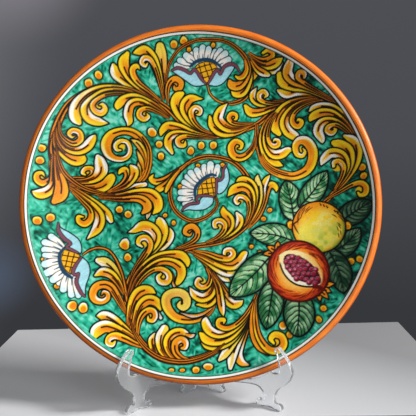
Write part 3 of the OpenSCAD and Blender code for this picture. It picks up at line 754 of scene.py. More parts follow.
def right_scroll():
    """Scroll at the right, over the fruit, and the leaves beside the rim."""
    finger([(64, 78, 0.8), (56, 68, 1.4), (52, 56, 1.8), (53.5, 45, 2.4), (58, 37, 3), (64, 33, 2.8),
            (69.5, 30.5, 0.8)])
    finger([(65, 77, 0.8), (58, 67, 1.4), (55, 55, 1.8), (57, 46, 2.4), (62, 40.5, 3.2), (69, 41, 3.4),
            (75, 44.5, 2.2), (78, 43, 0.5)], "n")
    curl([(66, 78, 0.8), (60, 68, 1.2), (57.5, 58, 1.5), (58.5, 51.5, 1.8), (62, 47.8, 2.2),
          (66, 48.8, 2.2), (66.5, 52.3, 1.8), (63.5, 53.5, 1.4), (61.8, 51.5, 0.8)], "n")
    curl([(50, 42, 2), (53, 34, 2.6), (60, 27, 3), (69, 23, 3.4), (79, 21.5, 3.4), (89, 25.5, 3.6),
          (94.5, 33, 3.8), (95.5, 43, 4), (91, 51, 4), (85, 52.5, 3.4), (81, 48, 2.8), (82, 41, 2.4),
          (86.5, 39, 2), (89, 42.5, 1.6), (87.5, 45.5, 1)], "n", vein=(0.02, 0.45))
    finger([(112, 6, 1), (122, 18, 2.2), (129, 30, 3), (130.5, 42, 3.6), (127, 50, 3), (121, 54, 1.4)],
           "n")
    finger([(113, 8, 1), (121, 20, 2), (125, 31, 3), (124, 41, 3.6), (118, 46.5, 3.8), (113, 49, 2.4)])
    finger([(113, 9, 1), (120, 21, 1.8), (122.5, 30, 2.4), (119, 38, 3), (111, 40.5, 3.4), (105, 36, 3),
            (102.5, 31, 1)], "w s")
    curl([(113, 9, 1), (119, 20, 1.6), (120.5, 28, 2), (117, 33, 2.2), (113, 32.5, 2), (112.5, 29, 1.6)],
         "w")
    curl([(105, 1, 0.8), (117, 7, 1.4), (126, 12, 1.8), (133, 13.5, 2.2), (137, 10, 2.2),
          (136.5, 4.5, 2.2), (133, 3, 1.8), (131, 5.5, 1.2)])


def petals(spots):
    """White petals that meet, pale blue at their tips, with dark ticks: root, tip and half width each."""
    for first, second in zip(spots, spots[1:]):
        rx, ry, tx, ty, half = (np.array(first) + np.array(second)) / 2
        root, tip = (rx, ry), (tx, ty)
        gap = Stroke([between(root, tip, 0, half), between(root, tip, 0.45, half),
                      between(root, tip, 0.85, 0.9 * half)])
        lay(gap.where, edge(gap.distance), WHITE, COAT)
        lay(gap.where, edge(np.abs(gap.distance) - 0.3) * ramp(0.7, 0.9, gap.s), INK, FINE_LINE)
    for rx, ry, tx, ty, half in spots:
        root, tip = (rx, ry), (tx, ty)
        petal = Stroke([between(root, tip, 0, 0.9 * half), between(root, tip, 0.5, 1.2 * half),
                        between(root, tip, 1, 1.08 * half)])
        blue = ramp(0.7, 1.0, petal.s + 0.15 * petal.across ** 2) * (0.4 + 0.6 * streaks[petal.where])
        outline = edge(np.abs(petal.distance) - 0.34) * (0.55 + 0.45 * ramp(0.4, 0.8, petal.s))
        lay(petal.where, edge(petal.distance), mix(WHITE, SKY, 0.8 * blue), COAT)
        lay(petal.where, outline, INK, FINE_LINE)
    for rx, ry, tx, ty, half in spots:
        root, tip = (rx, ry), (tx, ty)
        ticks = ((0, 0.6), (0.225, 0.45), (0.45, 0.25))
        rule([between(root, tip, share, width) for share, width in ticks], NAVY)


def band(points):
    """Plum edge of a sepal, with its dark outline."""
    rule([(x, y, half + 0.4) for x, y, half in points], INK)
    rule(points, PLUM)


def hatched(outline, pitch, angles):
    """Flower's heart: a patch with a lattice of dark lines."""
    patch = fill(outline, HEART, LINE, width=0.4)
    for angle in angles:
        turn = math.radians(angle)
        along = px[patch.where] * math.cos(turn) + py[patch.where] * math.sin(turn)
        wave = np.abs((along / pitch + 0.12 * blotches[patch.where]) % 1 - 0.5) * pitch
        lay(patch.where, edge(wave - 0.38) * edge(patch.distance + 0.8), LINE, FINE_LINE)


def top_flower():
    """Flower at the top, with its stem and the ring of stem round it."""
    petals([(-9, 117, -21, 117.3, 2.3), (-8, 119, -18, 121.3, 2.4), (-6, 120.5, -12.5, 125, 2.8),
            (-2, 122, -3.8, 129, 2.7), (2, 122.5, 1.6, 131, 2.8), (6, 122.5, 6.8, 130, 2.6),
            (10, 121.5, 12.4, 128, 2.5), (12, 121, 16.8, 128.6, 2.7), (14, 119.5, 21, 126.4, 2.8),
            (15.5, 117.5, 24, 121.8, 2.6)])
    hatched([(-6, 113), (-3, 118), (5, 120.5), (12, 118.5), (15, 113), (12, 108), (6, 102.5), (0, 107)],
            pitch=4.6, angles=(20, 105))
    rule([(-9, 116.5, 1.0), (-4, 120.5, 1.3), (4, 122.2, 1.4), (11, 120.8, 1.3), (17, 116.5, 1.0)], NAVY)
    fill([(5, 101.6), (1, 106), (-3, 112), (-6, 113.5), (-9, 110.5), (-14, 113.5), (-21, 115), (-25, 113),
          (-16, 107), (-8, 101.5), (-3, 100.3)], SKY)
    band([(5, 102, 0.6), (1, 106, 1.1), (-3, 112, 1.2), (-6, 114, 1.2), (-9, 111, 1.0), (-14, 113.8, 1.3),
          (-20, 115.3, 1.2), (-25, 113, 0.6)])
    fill([(6, 101.6), (9, 107), (12, 112), (15, 113), (17, 110.5), (20, 115), (25, 117.5), (29, 115.5),
          (24, 108), (19, 102.5), (13, 100.3)], SKY)
    band([(6, 102, 0.6), (9, 107, 1.1), (12, 112, 1.2), (15, 113.5, 1.1), (17, 110.5, 1.0),
          (20, 116, 1.3), (25, 118.3, 1.4), (30, 117, 1.2), (34, 111.5, 0.6)])
    stem([(6, 101, 1), (8, 94, 1.2), (14, 88, 1.3), (21, 85.5, 1.3)], lights=1)
    stem([(-30, 104, 1), (-28.5, 112, 1.3), (-26, 120, 1.4), (-18, 130, 1.5), (-5, 136.3, 1.5),
          (8, 137.3, 1.6), (20, 136, 1.6), (30, 131, 1.8), (38, 123, 2.2), (42, 113, 2.4),
          (43.5, 103, 2.4), (41, 94, 2.4), (35, 88, 2.2), (27, 85.5, 2), (21, 86.5, 1.2)])


def middle_flower():
    """Flower in the middle."""
    petals([(-8, 2, -15, -2, 1.9), (-8, 3.5, -18.5, 2.6, 2.4), (-8, 8, -18, 8, 2.6),
            (-5, 12.5, -15, 16.6, 2.4), (-3, 15.5, -12.2, 21.3, 2.6), (-1, 17.5, -9.3, 24.8, 2.8),
            (1, 19.5, -4, 27, 2.6), (4, 22, 2.2, 30, 2.6), (8, 23, 7.6, 32, 2.9),
            (12, 22, 13.8, 30, 2.4)])
    hatched([(-4, 5), (-3, 11), (0, 16), (5, 19.5), (11, 20.5), (12, 12), (11, 5), (4, 5)], pitch=4.4,
            angles=(8, 95))
    rule([(-5, 1, 1), (-6, 8, 1.3), (-4, 14, 1.4), (2, 20, 1.4), (8, 23, 1.3), (12, 22.3, 1)], NAVY)
    fill([(21, 31), (23, 26), (23.5, 18), (20, 10), (15.5, 6.5), (13, 8), (13.5, 16), (16, 18), (18, 22),
          (18.8, 27)], SKY)
    band([(21.5, 32, 0.6), (18.5, 27, 1.1), (18, 21, 1.1), (15.5, 18, 0.9), (13, 19.5, 0.9),
          (12.5, 12, 1), (12, 5.5, 0.6)])
    fill([(10, 3.5), (9, -2), (3, -6.5), (-5, -7.5), (-12, -7), (-17, -8.6), (-12, -3.5), (-4, -2),
          (0, 3.5), (5, 4.6)], SKY)
    band([(10, 4, 0.6), (4, 5, 1), (-2.5, 4.6, 1), (-4.5, 2, 0.9), (-3, -1.2, 0.9), (-9, -1.7, 1.1),
          (-14, -4, 1.1), (-17, -7.5, 0.6)])


def left_flower():
    """Flower at the left."""
    petals([(-116, -37.5, -124.5, -29.5, 2.6), (-117.5, -40, -129, -34.5, 2.7),
            (-118, -43, -129, -40.5, 2.7), (-118.6, -46, -128.6, -45, 2.2), (-118.5, -50, -128, -52.3, 3),
            (-117, -54.5, -126.5, -59.6, 2.9), (-114.5, -59, -121.4, -65, 2.9),
            (-111, -62, -113.3, -72.6, 2.9), (-107.5, -63, -107, -77, 2.8),
            (-105, -64, -101.7, -78, 2.3)])
    hatched([(-114, -40), (-105, -43), (-101.5, -46), (-104, -53), (-107.5, -60), (-113, -56.5),
             (-116, -50), (-116.5, -44)], pitch=4.4, angles=(-12, 80))
    rule([(-114, -38.5, 1), (-117.4, -44, 1.4), (-116.8, -52, 1.5), (-113.4, -59, 1.5),
          (-107.5, -63.4, 1.2)], NAVY)
    fill([(-119.3, -18), (-117, -22), (-110, -26), (-103, -31.5), (-100.5, -38), (-101, -43), (-104, -42),
          (-110, -38.5), (-109.5, -34), (-115, -30), (-118.5, -25)], SKY)
    band([(-119.5, -18, 0.6), (-118.8, -25, 1.4), (-114.5, -31, 1.5), (-109.5, -35, 1.2),
          (-112.5, -37.8, 0.9), (-108, -40.5, 1.1), (-103.5, -42.6, 0.7)])
    fill([(-99.5, -46.5), (-95, -51), (-93.3, -57), (-94, -63), (-96, -69), (-96.5, -74), (-96.5, -78),
          (-100, -75.5), (-103, -70), (-103.5, -65), (-102, -60.5), (-106, -59.5), (-104.5, -53)], SKY)
    band([(-100.5, -46.5, 0.7), (-104.5, -52.5, 1.2), (-106.8, -58.3, 1.3), (-105, -61, 1),
          (-102.3, -60, 0.9), (-103.8, -66, 1.3), (-102.6, -70.5, 1.3), (-99.5, -76, 1.2),
          (-96.8, -78.8, 0.7)])


def leaf(points, half, dark=0.0, ribs=9):
    """Leaf of the fruit: pale between its ribs, dark along them."""
    spine = curve(points, step=2.0)
    share = np.linspace(0, 1, len(spine))
    wide = 1.08 * half * np.sin(math.pi * np.clip(share, 0.02, 0.985) ** 0.85) ** 0.8
    stroke = Stroke(np.column_stack([spine, wide]), margin=3)
    where, s, t = stroke.where, stroke.s, stroke.across
    patches = clouds(4.5, seed=16)[where]
    lean = s - 0.24 * np.abs(t) ** 1.4 + 0.03 * (blotches[where] - 0.5)
    rib_share = (lean * ribs) % 1
    rib = np.abs(rib_share - 0.5) / ribs * stroke.length
    shine = ramp(0.2, 0.6, patches) * (0.45 + 0.55 * rib_share) * ramp(1.05, 0.5, np.abs(t))
    colour = mix(LEAF_DARK, LEAF, ramp(0.0, 0.5, 1 - np.abs(t) + 0.6 * (streaks[where] - 0.5)))
    colour = mix(colour, LEAF_DARK, 0.4 * ramp(0.55, 0.2, patches))
    # Dark leaves: partly a deeper green of their own, partly painted shade
    colour = mix(colour, LEAF_DEEP, 1.1 * dark)
    colour = mix(colour, LEAF_PALE, 0.95 * shine * (1 - 0.8 * dark))
    lime = 0.4 * ramp(0.5, 0.8, clouds(6, seed=17)[where])
    colour = mix(colour, LEAF_LIME, lime * shine * (1 - dark))
    lay(where, 0.7 * edge(stroke.distance - 1.3, soft=1.1), SHADE)
    lay(where, edge(stroke.distance), colour, THIN)
    mask = edge(stroke.distance + 0.6) * ramp(0.04, 0.1, s) * (1 - ramp(0.9, 0.97, s))
    taper = 0.66 - 0.35 * np.abs(t)
    lay(where, edge(rib - taper) * mask * (1 - ramp(0.82, 0.98, np.abs(t))), LEAF_LINE, MARK)
    midrib = edge(np.abs(t) * stroke.half - 0.85 + 0.45 * s) * edge(stroke.distance + 0.3)
    lay(where, midrib, LEAF_LINE, FINE_LINE)
    lay(where, edge(np.abs(stroke.distance) - 0.72), INK, BOLD_LINE)


def fruit_leaves():
    """Green leaves round the fruit."""
    # The darkest leaves, at the right, are partly a deeper green of their own and partly painted shade
    leaf([(78, -15), (76, 0), (72, 17)], half=9.5)
    leaf([(84, -4), (95, 8), (107, 25)], half=8.5)
    leaf([(82, -36), (62, -29), (41, -27)], half=9.5)
    leaf([(117, -18), (129, -10), (140, -3)], half=9, dark=0.7)
    leaf([(104, -46), (119, -38), (131, -25)], half=8.5, dark=0.6)
    leaf([(58, -46), (42, -63), (23, -79)], half=12)
    leaf([(60, -68), (56, -88), (52, -106.5)], half=9.8, dark=0.2)
    leaf([(80, -80), (79, -95), (76, -112)], half=11.5, dark=0.3)
    leaf([(106, -42), (113, -60), (115, -78)], half=9, dark=0.75)


def disc(x, y, radius):
    """Points near a round spot, with their place in it and distance to its edge."""
    where = near((x, y), (x, y), radius + 3)
    u, v = (px[where] - x) / radius, (py[where] - y) / radius
    return where, u, v, (np.hypot(u, v) - 1) * radius


def hatching(x, y, radius, start, end, count, length, colour, seed):
    """Short strokes that follow a fruit's edge."""
    draw = np.random.default_rng(seed)
    for share in np.linspace(0, 1, count):
        angle = math.radians(start + (end - start) * share)
        inset = radius * (0.97 - 0.22 * draw.random())
        sweep = length / radius * (0.6 + 0.8 * draw.random())
        trail = [(x + inset * (1 - 0.05 * k) * math.cos(angle + sweep * k / 2),
                  y + inset * (1 - 0.05 * k) * math.sin(angle + sweep * k / 2), w)
                 for k, w in ((0, 0.2), (1, 0.4), (2, 0.15))]
        rule(trail, colour, COAT)


def lemon():
    """Lemon: orange at the upper left, pale yellow below and greenish at the lower right."""
    x, y, radius = 98.5, -22.5, 22
    left_end, right_end = (75.5, -20.5), (121.5, -22)
    for end in (left_end, right_end):
        dot(*end, wide=3.6, cream=ORANGE)
    where, u, v, distance = disc(x, y, radius)
    rho = np.hypot(u, v)
    patches = 0.6 * clouds(5, seed=41)[where] + 0.4 * clouds(2, seed=42)[where]
    colour = mix(AMBER, GOLD, ramp(1.0, 0.55, rho + 0.3 * (patches - 0.5)))
    colour = mix(colour, STRAW, 0.85 * ramp(0.42, 0.66, patches) * ramp(0.95, 0.5, rho))
    pale = ramp(0.35, -0.2, v + 0.5 * (patches - 0.5)) * ramp(1.0, 0.75, rho)
    colour = mix(colour, mix(PALE_LEMON, PALE_LIME, ramp(0.35, 0.65, patches)), 0.8 * pale)
    greenish = ramp(0.4, 0.7, clouds(4, seed=43)[where]) * ramp(-0.1, 0.6, 0.5 * u - 0.75 * v)
    colour = mix(colour, OLIVE, 0.8 * greenish)
    colour = mix(colour, MOSS, 0.75 * ramp(0.86, 1.0, rho) * ramp(0.2, 0.7, u - 0.35 * v))
    warm = ramp(0.25, 0.85, 0.75 * v - 0.5 * u + 0.4 * (patches - 0.5))
    colour = mix(colour, BLUSH, 0.85 * warm)
    lay(where, edge(distance), colour, COAT)
    lay(where, edge(np.abs(distance) - 0.65), LINE, BOLD_LINE)
    hatching(x, y, radius, start=105, end=140, count=7, length=9, colour=DARK_BROWN, seed=5)
    hatching(x, y, radius, start=-30, end=35, count=9, length=5, colour=LINE, seed=6)
    for tx, ty in ((101, -3.2), (103.7, -4.2), (106.3, -5.4), (112.5, -9.2), (114.6, -10.6)):
        rule([(tx - 0.4, ty + 0.7, 0.45), (tx + 0.4, ty - 0.7, 0.55)], LINE)
    fold_x, fold_y = 77.5, -19.5
    for ex, ey in ((84, -14), (82, -28)):
        mx, my, half = between((fold_x, fold_y), (ex, ey), 0.5, 0.6)
        rule([(fold_x, fold_y, 0.7), (mx, my - 0.75, half), (ex, ey, 0.2)], DARK_BROWN)


def pomegranate():
    """Open pomegranate with sepals at both ends, a pale rind and dark red seeds."""
    x, y, radius = 80, -59.5, 25.5
    for tip, root in (((51, -45), (61, -45)), ((54.5, -38.5), (62, -43)), ((64, -34.5), (63.5, -43)),
                      ((69.5, -38.5), (64, -43.5)), ((109, -70.5), (98, -73)), ((105.5, -77.5), (98, -75)),
                      ((96.5, -85), (95.5, -76)), ((103, -83), (97, -76))):
        mx, my, half = between(root, tip, 0.5, 2.1)
        finger([(*root, 2.2), (mx, my + 0.6, half), (*tip, 0.4)], tone=DEEP_ORANGE,
               root=DARK_RED, vein=(0.0, 0.5), full=0.3)
    where, u, v, distance = disc(x, y, radius)
    rho = np.hypot(u, v)
    rays = clouds(1, seed=44, at=(40 * rho ** 2, 9 * np.arctan2(v, u)))
    colour = toned(rho + 0.1 * (rays - 0.5), [(0.5, "F6BE5A"), (0.62, "F2A23A"), (0.74, "EA7C22"),
                                              (0.85, "D4481A"), (0.94, "96240F"), (1.0, "4E0E0A")])
    lay(where, edge(distance), colour, COAT)
    hatching(x, y, radius, start=140, end=335, count=44, length=11, colour=DARK_RED, seed=8)
    hatching(x, y, radius, start=150, end=320, count=26, length=9, colour=RED_ORANGE, seed=12)
    hatching(x, y, radius, start=-30, end=140, count=34, length=9, colour=DARK_RED, seed=9)
    lay(where, edge(np.abs(distance) - 0.75), mix(DARK_RED, LINE, 0.5), BOLD_LINE)
    opening = Patch([(64.5, -46), (65.5, -55), (69, -63), (75, -69.2), (82, -72.2), (91, -73), (98, -70.5),
                     (100, -62), (96.5, -53), (89.5, -46), (80, -42.3), (71, -42.3)])
    ox, oy = px[opening.where], py[opening.where]
    rind = mix(RIND, CREAM, ramp(-62, -48, oy))
    rind = mix(rind, APRICOT, ramp(84, 99, ox + 0.4 * (oy + 50)))
    lay(opening.where, edge(opening.distance, soft=0.6), rind, COAT)
    lower = ramp(0, 4, -0.62 * (ox - 80) - (oy + 60))
    lay(opening.where, edge(np.abs(opening.distance + 0.3) - 0.75) * lower, LINE, BOLD_LINE)
    inner = Patch([(69, -47), (73, -45), (81, -46.8), (88, -50.5), (94.5, -57), (98, -64), (97.5, -70.2),
                   (89, -69.8), (80, -67.2), (74, -62.7), (70, -57), (68.3, -51)])
    lay(inner.where, edge(inner.distance), WINE, COAT)
    seeds(inner)
    rule([(92, -73.5, 0.8), (96, -73, 1.6), (99, -75, 1.6)], DARK_RED)


def seeds(patch):
    """Red seeds packed in the open fruit, each with a pale edge and a pink light."""
    pitch, sway = 4.2, 1.5
    first_x, first_y = 66, -44.5
    draw = np.random.default_rng(21)
    for row in range(-1, 9):
        for column in range(-1, 9):
            x = first_x + pitch * (column + 0.5 * (row % 2)) + sway * (draw.random() - 0.5)
            y = first_y - pitch * 0.86 * row + sway * (draw.random() - 0.5)
            light = draw.random()
            size = 1.65 + 0.5 * draw.random()
            at = np.hypot(px[patch.where] - x, py[patch.where] - y).argmin()
            if patch.distance[at] > -0.5:
                continue
            where, u, v, distance = disc(x, y, size)
            glow = ramp(0.75, 0.1, np.hypot(u + 0.25, v - 0.3))
            pale_edge = edge(np.abs(distance - 0.15) - 0.18) * ramp(-0.4, 0.6, v - 0.5 * u)
            shade = ramp(0.1, 0.7, 0.6 * u - 0.8 * v) * edge(distance)
            lay(where, edge(distance - 0.55), SEED_GAP, COAT)
            lay(where, 0.8 * pale_edge, SEED_EDGE, COAT)
            lay(where, edge(distance), mix(CRIMSON, PINK, glow * light), SEED)
            lay(where, 0.7 * shade, DARK_RED, SEED)


def dots():
    """Dots strewn between the leaves."""
    for x, y in ((-94.5, 99), (-86, 106), (-132.5, 43.5), (-134, 33), (-69.5, -6.5), (-62, -10.5),
                 (-62.5, -46.5), (-36, 49.5), (-34.5, 39.5), (-9, 44), (0, 48.5), (10.5, 48.5),
                 (-23, 133.5), (-14.5, 136.5)):
        dot(x, y, wide=3.4, cream=PALE_YELLOW)
    for x, y in ((-10, 129.8), (10.5, 133.2), (-31, -11.5), (-24, -18), (41.5, -38.5), (48.5, -43.5),
                 (57.5, -7.5), (52, -15), (-3, 31), (18, 31.5), (-18.5, 13), (-129, -48.5),
                 (-118.5, -70.5)):
        dot(x, y, wide=2.3, cream=ORANGE)
    dot(-42, 60, wide=4.2)
    dot(-65, -35.5, wide=4.4, high=5.2)
    dot(-135, -16.5, wide=3.8, cream=PALE_YELLOW)
    dot(-125.5, -13.5, wide=3.6, cream=PALE_YELLOW)
    dot(-106, -86.5, wide=4.2, high=4.4, side="e")
    dot(-97.5, -88, wide=3.6, high=4.4)
    dot(-26.5, -138, wide=2.6, high=1.8, cream=PALE_YELLOW)
    dot(-17.5, -138.3, wide=2.6, high=1.6, cream=YELLOW)
    dot(-6.5, -138, wide=3.4, high=2.8, cream=PALE_YELLOW)
    dot(3, -136, wide=4.2, high=2.8)
    dot(65.5, -104.5, wide=3.3, side="n")
    for x, y in ((70, -111.5), (94, -99.3), (98.6, -90.4), (123, -52), (129.2, -50.6), (134.5, 26.5),
                 (135.5, 19.5)):
        dot(x, y, wide=2.8, high=3.2, cream=OCHRE)


ground()
dots()
stems()
centre_ring()
top_left_leaves()
top_flower()
top_right_leaves()
left_leaves()
middle_leaves()
lower_leaves()
right_scroll()
middle_flower()
left_flower()
fruit_leaves()
lemon()
pomegranate()
ground_line()


# Mesh of the painted face
def to_linear(c):
    """Linear light from a colour as it looks on a screen."""
    return np.where(c <= 0.04045, c / 12.92, ((c + 0.055) / 1.055) ** 2.4)


def painted_face():
    """Fine mesh over the front of the painted ground, with the paint on its points."""
    depth = depth_at(prho) - relief
    spots = (np.array(bead_centre)[None, :] + MM * (px[:, None] * np.array(right_dir)
             + py[:, None] * np.array(up_dir) - depth[:, None] * np.array(front_dir)))
    corner = (np.arange(SIDE - 1)[:, None] * SIDE + np.arange(SIDE - 1)[None, :]).ravel()
    quads = np.stack([corner, corner + 1, corner + SIDE + 1, corner + SIDE], 1)
    mesh = bpy.data.meshes.new("painted_face")
    mesh.vertices.add(len(spots))
    mesh.vertices.foreach_set("co", spots.astype(np.float32).ravel())
    mesh.loops.add(quads.size)
    mesh.loops.foreach_set("vertex_index", quads.astype(np.int32).ravel())
    mesh.polygons.add(len(quads))
    mesh.polygons.foreach_set("loop_start", np.arange(0, quads.size, 4, dtype=np.int32))
    mesh.update(calc_edges=True)
    mesh.polygons.foreach_set("use_smooth", np.ones(len(quads), bool))
    layer = mesh.color_attributes.new("paint", "FLOAT_COLOR", "POINT")
    rgba = np.column_stack([to_linear(np.clip(paint, 0, 1)), np.ones(len(px))])
    layer.data.foreach_set("color", rgba.astype(np.float32).ravel())
    layout = mesh.uv_layers.new(name="OFBake")
    uv = np.stack([px, py], 1)[quads.ravel()] / (2 * face_r) + 0.5
    layout.data.foreach_set("uv", uv.astype(np.float32).ravel())
    piece = bpy.data.objects.new("painted_face", mesh)
    bpy.context.scene.collection.objects.link(piece)
    return piece


# Materials
def material(name):
    """New material with its node tree and its shader."""
    made = bpy.data.materials.new(name)
    made.use_nodes = True
    return made, made.node_tree, made.node_tree.nodes["Principled BSDF"]


def feed(tree, made, inputs):
    """Sets a node's inputs to numbers, vectors or colour codes, or links them to other sockets."""
    for name, value in inputs.items():
        if isinstance(value, bpy.types.NodeSocket):
            tree.links.new(value, made.inputs[name])
        elif isinstance(value, str):
            made.inputs[name].default_value = (*to_linear(tint(value)), 1)
        else:
            made.inputs[name].default_value = value


def node(tree, kind, inputs=None, **settings):
    """New shader node with its settings and inputs."""
    made = tree.nodes.new(kind)
    for name, value in settings.items():
        setattr(made, name, value)
    feed(tree, made, inputs or {})
    return made


def maths(tree, operation, *values):
    """Result of a sum with numbers and sockets."""
    return node(tree, "ShaderNodeMath", dict(enumerate(values)), operation=operation).outputs["Value"]


def vector_maths(tree, operation, *vectors):
    """Outputs of a sum with vectors."""
    return node(tree, "ShaderNodeVectorMath", dict(enumerate(vectors)), operation=operation).outputs


def place_of(tree):
    """A point's place on the part, in metres."""
    return node(tree, "ShaderNodeTexCoord").outputs["Object"]


def noise(tree, vector, scale, detail=3.0):
    """Noise with patches per metre."""
    inputs = {"Vector": vector, "Scale": scale, "Detail": detail}
    return node(tree, "ShaderNodeTexNoise", inputs).outputs["Fac"]


def spread(tree, value, low, high):
    """Maps a noise value to a range."""
    ends = {"Value": value, "From Min": 0.3, "From Max": 0.7, "To Min": low, "To Max": high}
    return node(tree, "ShaderNodeMapRange", ends).outputs["Result"]


def bump(tree, shader, height, depth, strength):
    """Fine relief, with its depth in metres."""
    inputs = {"Height": height, "Distance": depth, "Strength": strength}
    feed(tree, shader, {"Normal": node(tree, "ShaderNodeBump", inputs).outputs["Normal"]})


def colours(tree, value, stops):
    """Colour for a value, from (value, colour code) stops in order."""
    made = node(tree, "ShaderNodeValToRGB", {"Fac": value})
    elements = made.color_ramp.elements
    while len(elements) < len(stops):
        elements.new(0.5)
    for element, (place, code) in zip(elements, stops):
        element.position = place
        element.color = (*to_linear(tint(code)), 1)
    return made.outputs["Color"]


def plate_place(tree):
    """A point's place, its radius from the plate's axis in mm, and its angle round it."""
    place = place_of(tree)
    off = vector_maths(tree, "SUBTRACT", place, bead_centre)["Vector"]
    x, y = (vector_maths(tree, "DOT_PRODUCT", off, way / MM)["Value"] for way in (right_dir, up_dir))
    flat_place = node(tree, "ShaderNodeCombineXYZ", {"X": x, "Y": y}).outputs["Vector"]
    radius = vector_maths(tree, "LENGTH", flat_place)["Value"]
    return place, radius, maths(tree, "ARCTAN2", y, x)


def strayed(tree, radius, angle):
    """Radius less the wandering of the white line, in mm."""
    for times, start, size in WANDER:
        wave = maths(tree, "SINE", maths(tree, "MULTIPLY_ADD", angle, times, start))
        radius = maths(tree, "MULTIPLY_ADD", wave, -size, radius)
    return radius


def step_at(tree, value, place, soft=0.25, way="LINEAR"):
    """0 below a place and 1 above it, with a soft change."""
    ends = {"Value": value, "From Min": place - soft, "From Max": place + soft}
    return node(tree, "ShaderNodeMapRange", ends, interpolation_type=way).outputs["Result"]


def mixed(tree, share, first, second, mode="MIX"):
    """Colour between two colours, which are sockets or colour codes."""
    made = node(tree, "ShaderNodeMix", {"Factor": share}, data_type="RGBA", blend_type=mode)
    for name, colour in (("A", first), ("B", second)):
        slot = next(i for i, s in enumerate(made.inputs) if s.name == name and s.type == "RGBA")
        feed(tree, made, {slot: colour})
    return next(o for o in made.outputs if o.type == "RGBA")


def painted_glaze():
    """Glaze over the paint of the face."""
    made, tree, shader = material("painted_glaze")
    place = place_of(tree)
    coat = node(tree, "ShaderNodeAttribute", attribute_name="paint").outputs["Color"]
    grain = colours(tree, noise(tree, place, scale=900, detail=4), [(0.3, "8A8A8A"), (0.7, "FFFFFF")])
    coat = mixed(tree, 0.22, coat, grain, "MULTIPLY")
    rough = spread(tree, noise(tree, place, scale=160), low=0.2, high=0.34)
    feed(tree, shader, {"Base Color": coat, "Roughness": rough, "Specular IOR Level": 0.09})
    bump(tree, shader, noise(tree, place, scale=420), depth=0.00012, strength=0.35)
    return made


def white_glaze():
    """White glaze of the back."""
    made, tree, shader = material("white_glaze")
    place = place_of(tree)
    patches = noise(tree, place, scale=60, detail=5)
    coat = colours(tree, patches, [(0.3, "E4DED0"), (0.5, "EEE9DE"), (0.72, "F4F1E9")])
    rough = spread(tree, noise(tree, place, scale=200), low=0.2, high=0.36)
    feed(tree, shader, {"Base Color": coat, "Roughness": rough})
    bump(tree, shader, noise(tree, place, scale=260), depth=0.00025, strength=0.4)
    return made


def rim_glaze(name):
    """Bands of the rim: green ground, dark line, white line, dark line and the streaky orange lip."""
    made, tree, shader = material(name)
    place, radius, angle = plate_place(tree)
    along_rim = maths(tree, "MULTIPLY", angle, 9.0)
    round_place = node(tree, "ShaderNodeCombineXYZ", {"X": along_rim, "Y": radius}).outputs["Vector"]
    streak = noise(tree, round_place, scale=1.1, detail=5)
    lip = colours(tree, streak, [(0.25, "C2581A"), (0.45, "E0701E"), (0.6, "EC8428"), (0.78, "F49C48")])
    # Partly wear and partly painted shade: the outer edge of the lip is darker rust all round
    wear_and_shade = colours(tree, streak, [(0.3, "5A1E0C"), (0.55, "8A3412"), (0.75, "B4501A")])
    lip = mixed(tree, step_at(tree, radius, plate_r - 1.0, soft=0.9), lip, wear_and_shade)
    green = colours(tree, noise(tree, place, scale=260),
                    [(0.3, "1B8468"), (0.5, "2CA083"), (0.7, "55C2A4")])
    white = colours(tree, noise(tree, place, scale=60, detail=5),
                    [(0.3, "E8E6DE"), (0.5, "F2F1EC"), (0.72, "F8F7F4")])
    dark_inside, dark_outside = "0A1512", "140C08"
    band_r = strayed(tree, radius, angle)
    coat = green
    for start, tone in ((INNER_LINE, dark_inside), (WHITE_FROM, white),
                        (WHITE_TO, dark_outside), (ORANGE_FROM, lip)):
        coat = mixed(tree, step_at(tree, band_r, start), coat, tone)
    rough = spread(tree, noise(tree, place, scale=300), low=0.32, high=0.46)
    feed(tree, shader, {"Base Color": coat, "Roughness": rough, "Specular IOR Level": 0.25})
    bump(tree, shader, streak, depth=0.0002, strength=0.4)
    return made


def bare_clay():
    """Fired clay without glaze."""
    made, tree, shader = material("bare_clay")
    place = place_of(tree)
    clay = colours(tree, noise(tree, place, scale=500, detail=6),
                   [(0.3, "A9673F"), (0.55, "C08154"), (0.75, "CF9A70")])
    feed(tree, shader, {"Base Color": clay, "Roughness": 0.85})
    bump(tree, shader, noise(tree, place, scale=900, detail=4), depth=0.0004, strength=0.6)
    return made


def clear_plastic(name, colour, roughness, flat):
    """Clear plastic, with painted highlights that make the rounded edges between its flat faces and its
    sides whiter.
    """
    made, tree, shader = material(name)
    place = place_of(tree)
    normal = node(tree, "ShaderNodeTexCoord").outputs["Normal"]
    lean = maths(tree, "ABSOLUTE", vector_maths(tree, "DOT_PRODUCT", normal, flat)["Value"])
    # Painted highlight: the rounded edges let little light through, so their white base colour shows
    clear = colours(tree, lean, [(0.08, "F6F6F6"), (0.3, "484848"), (0.93, "484848"), (0.985, "F6F6F6")])
    rough = spread(tree, noise(tree, place, scale=250), low=roughness, high=roughness + 0.06)
    feed(tree, shader, {"Base Color": colour, "Transmission Weight": clear, "IOR": 1.49,
                        "Roughness": rough})
    bump(tree, shader, noise(tree, place, scale=90, detail=2), depth=0.0004, strength=0.15)
    return made


def dress(name, made):
    """Gives a CAD node its material."""
    slots = nodes[name].data.materials
    slots.clear()
    slots.append(made)


plate_r = on_plate("lip_glaze")[0].max()
face = painted_face()
face.data.materials.append(painted_glaze())
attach(face, "plate")
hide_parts("painted_ground")

dress("white_line", rim_glaze("rim_line"))
dress("back_glaze", white_glaze())
dress("lip_glaze", rim_glaze("rim_lip"))
dress("clay_body", bare_clay())

# Easel: each leg with the direction that its flat faces look to
open_angle = math.radians(45)
across, along = math.cos(open_angle), math.sin(open_angle)
legs = {"left_leg": (across, -along, 0), "right_leg": (across, along, 0), "back_leg": (1, 0, 0)}
for leg, flat in legs.items():
    dress(leg, clear_plastic(leg + "_plastic", "FAFCFD", roughness=0.03, flat=flat))
dress("hinge_pin", clear_plastic("pin_plastic", "EEF3F5", roughness=0.06, flat=(0, 0, 1)))

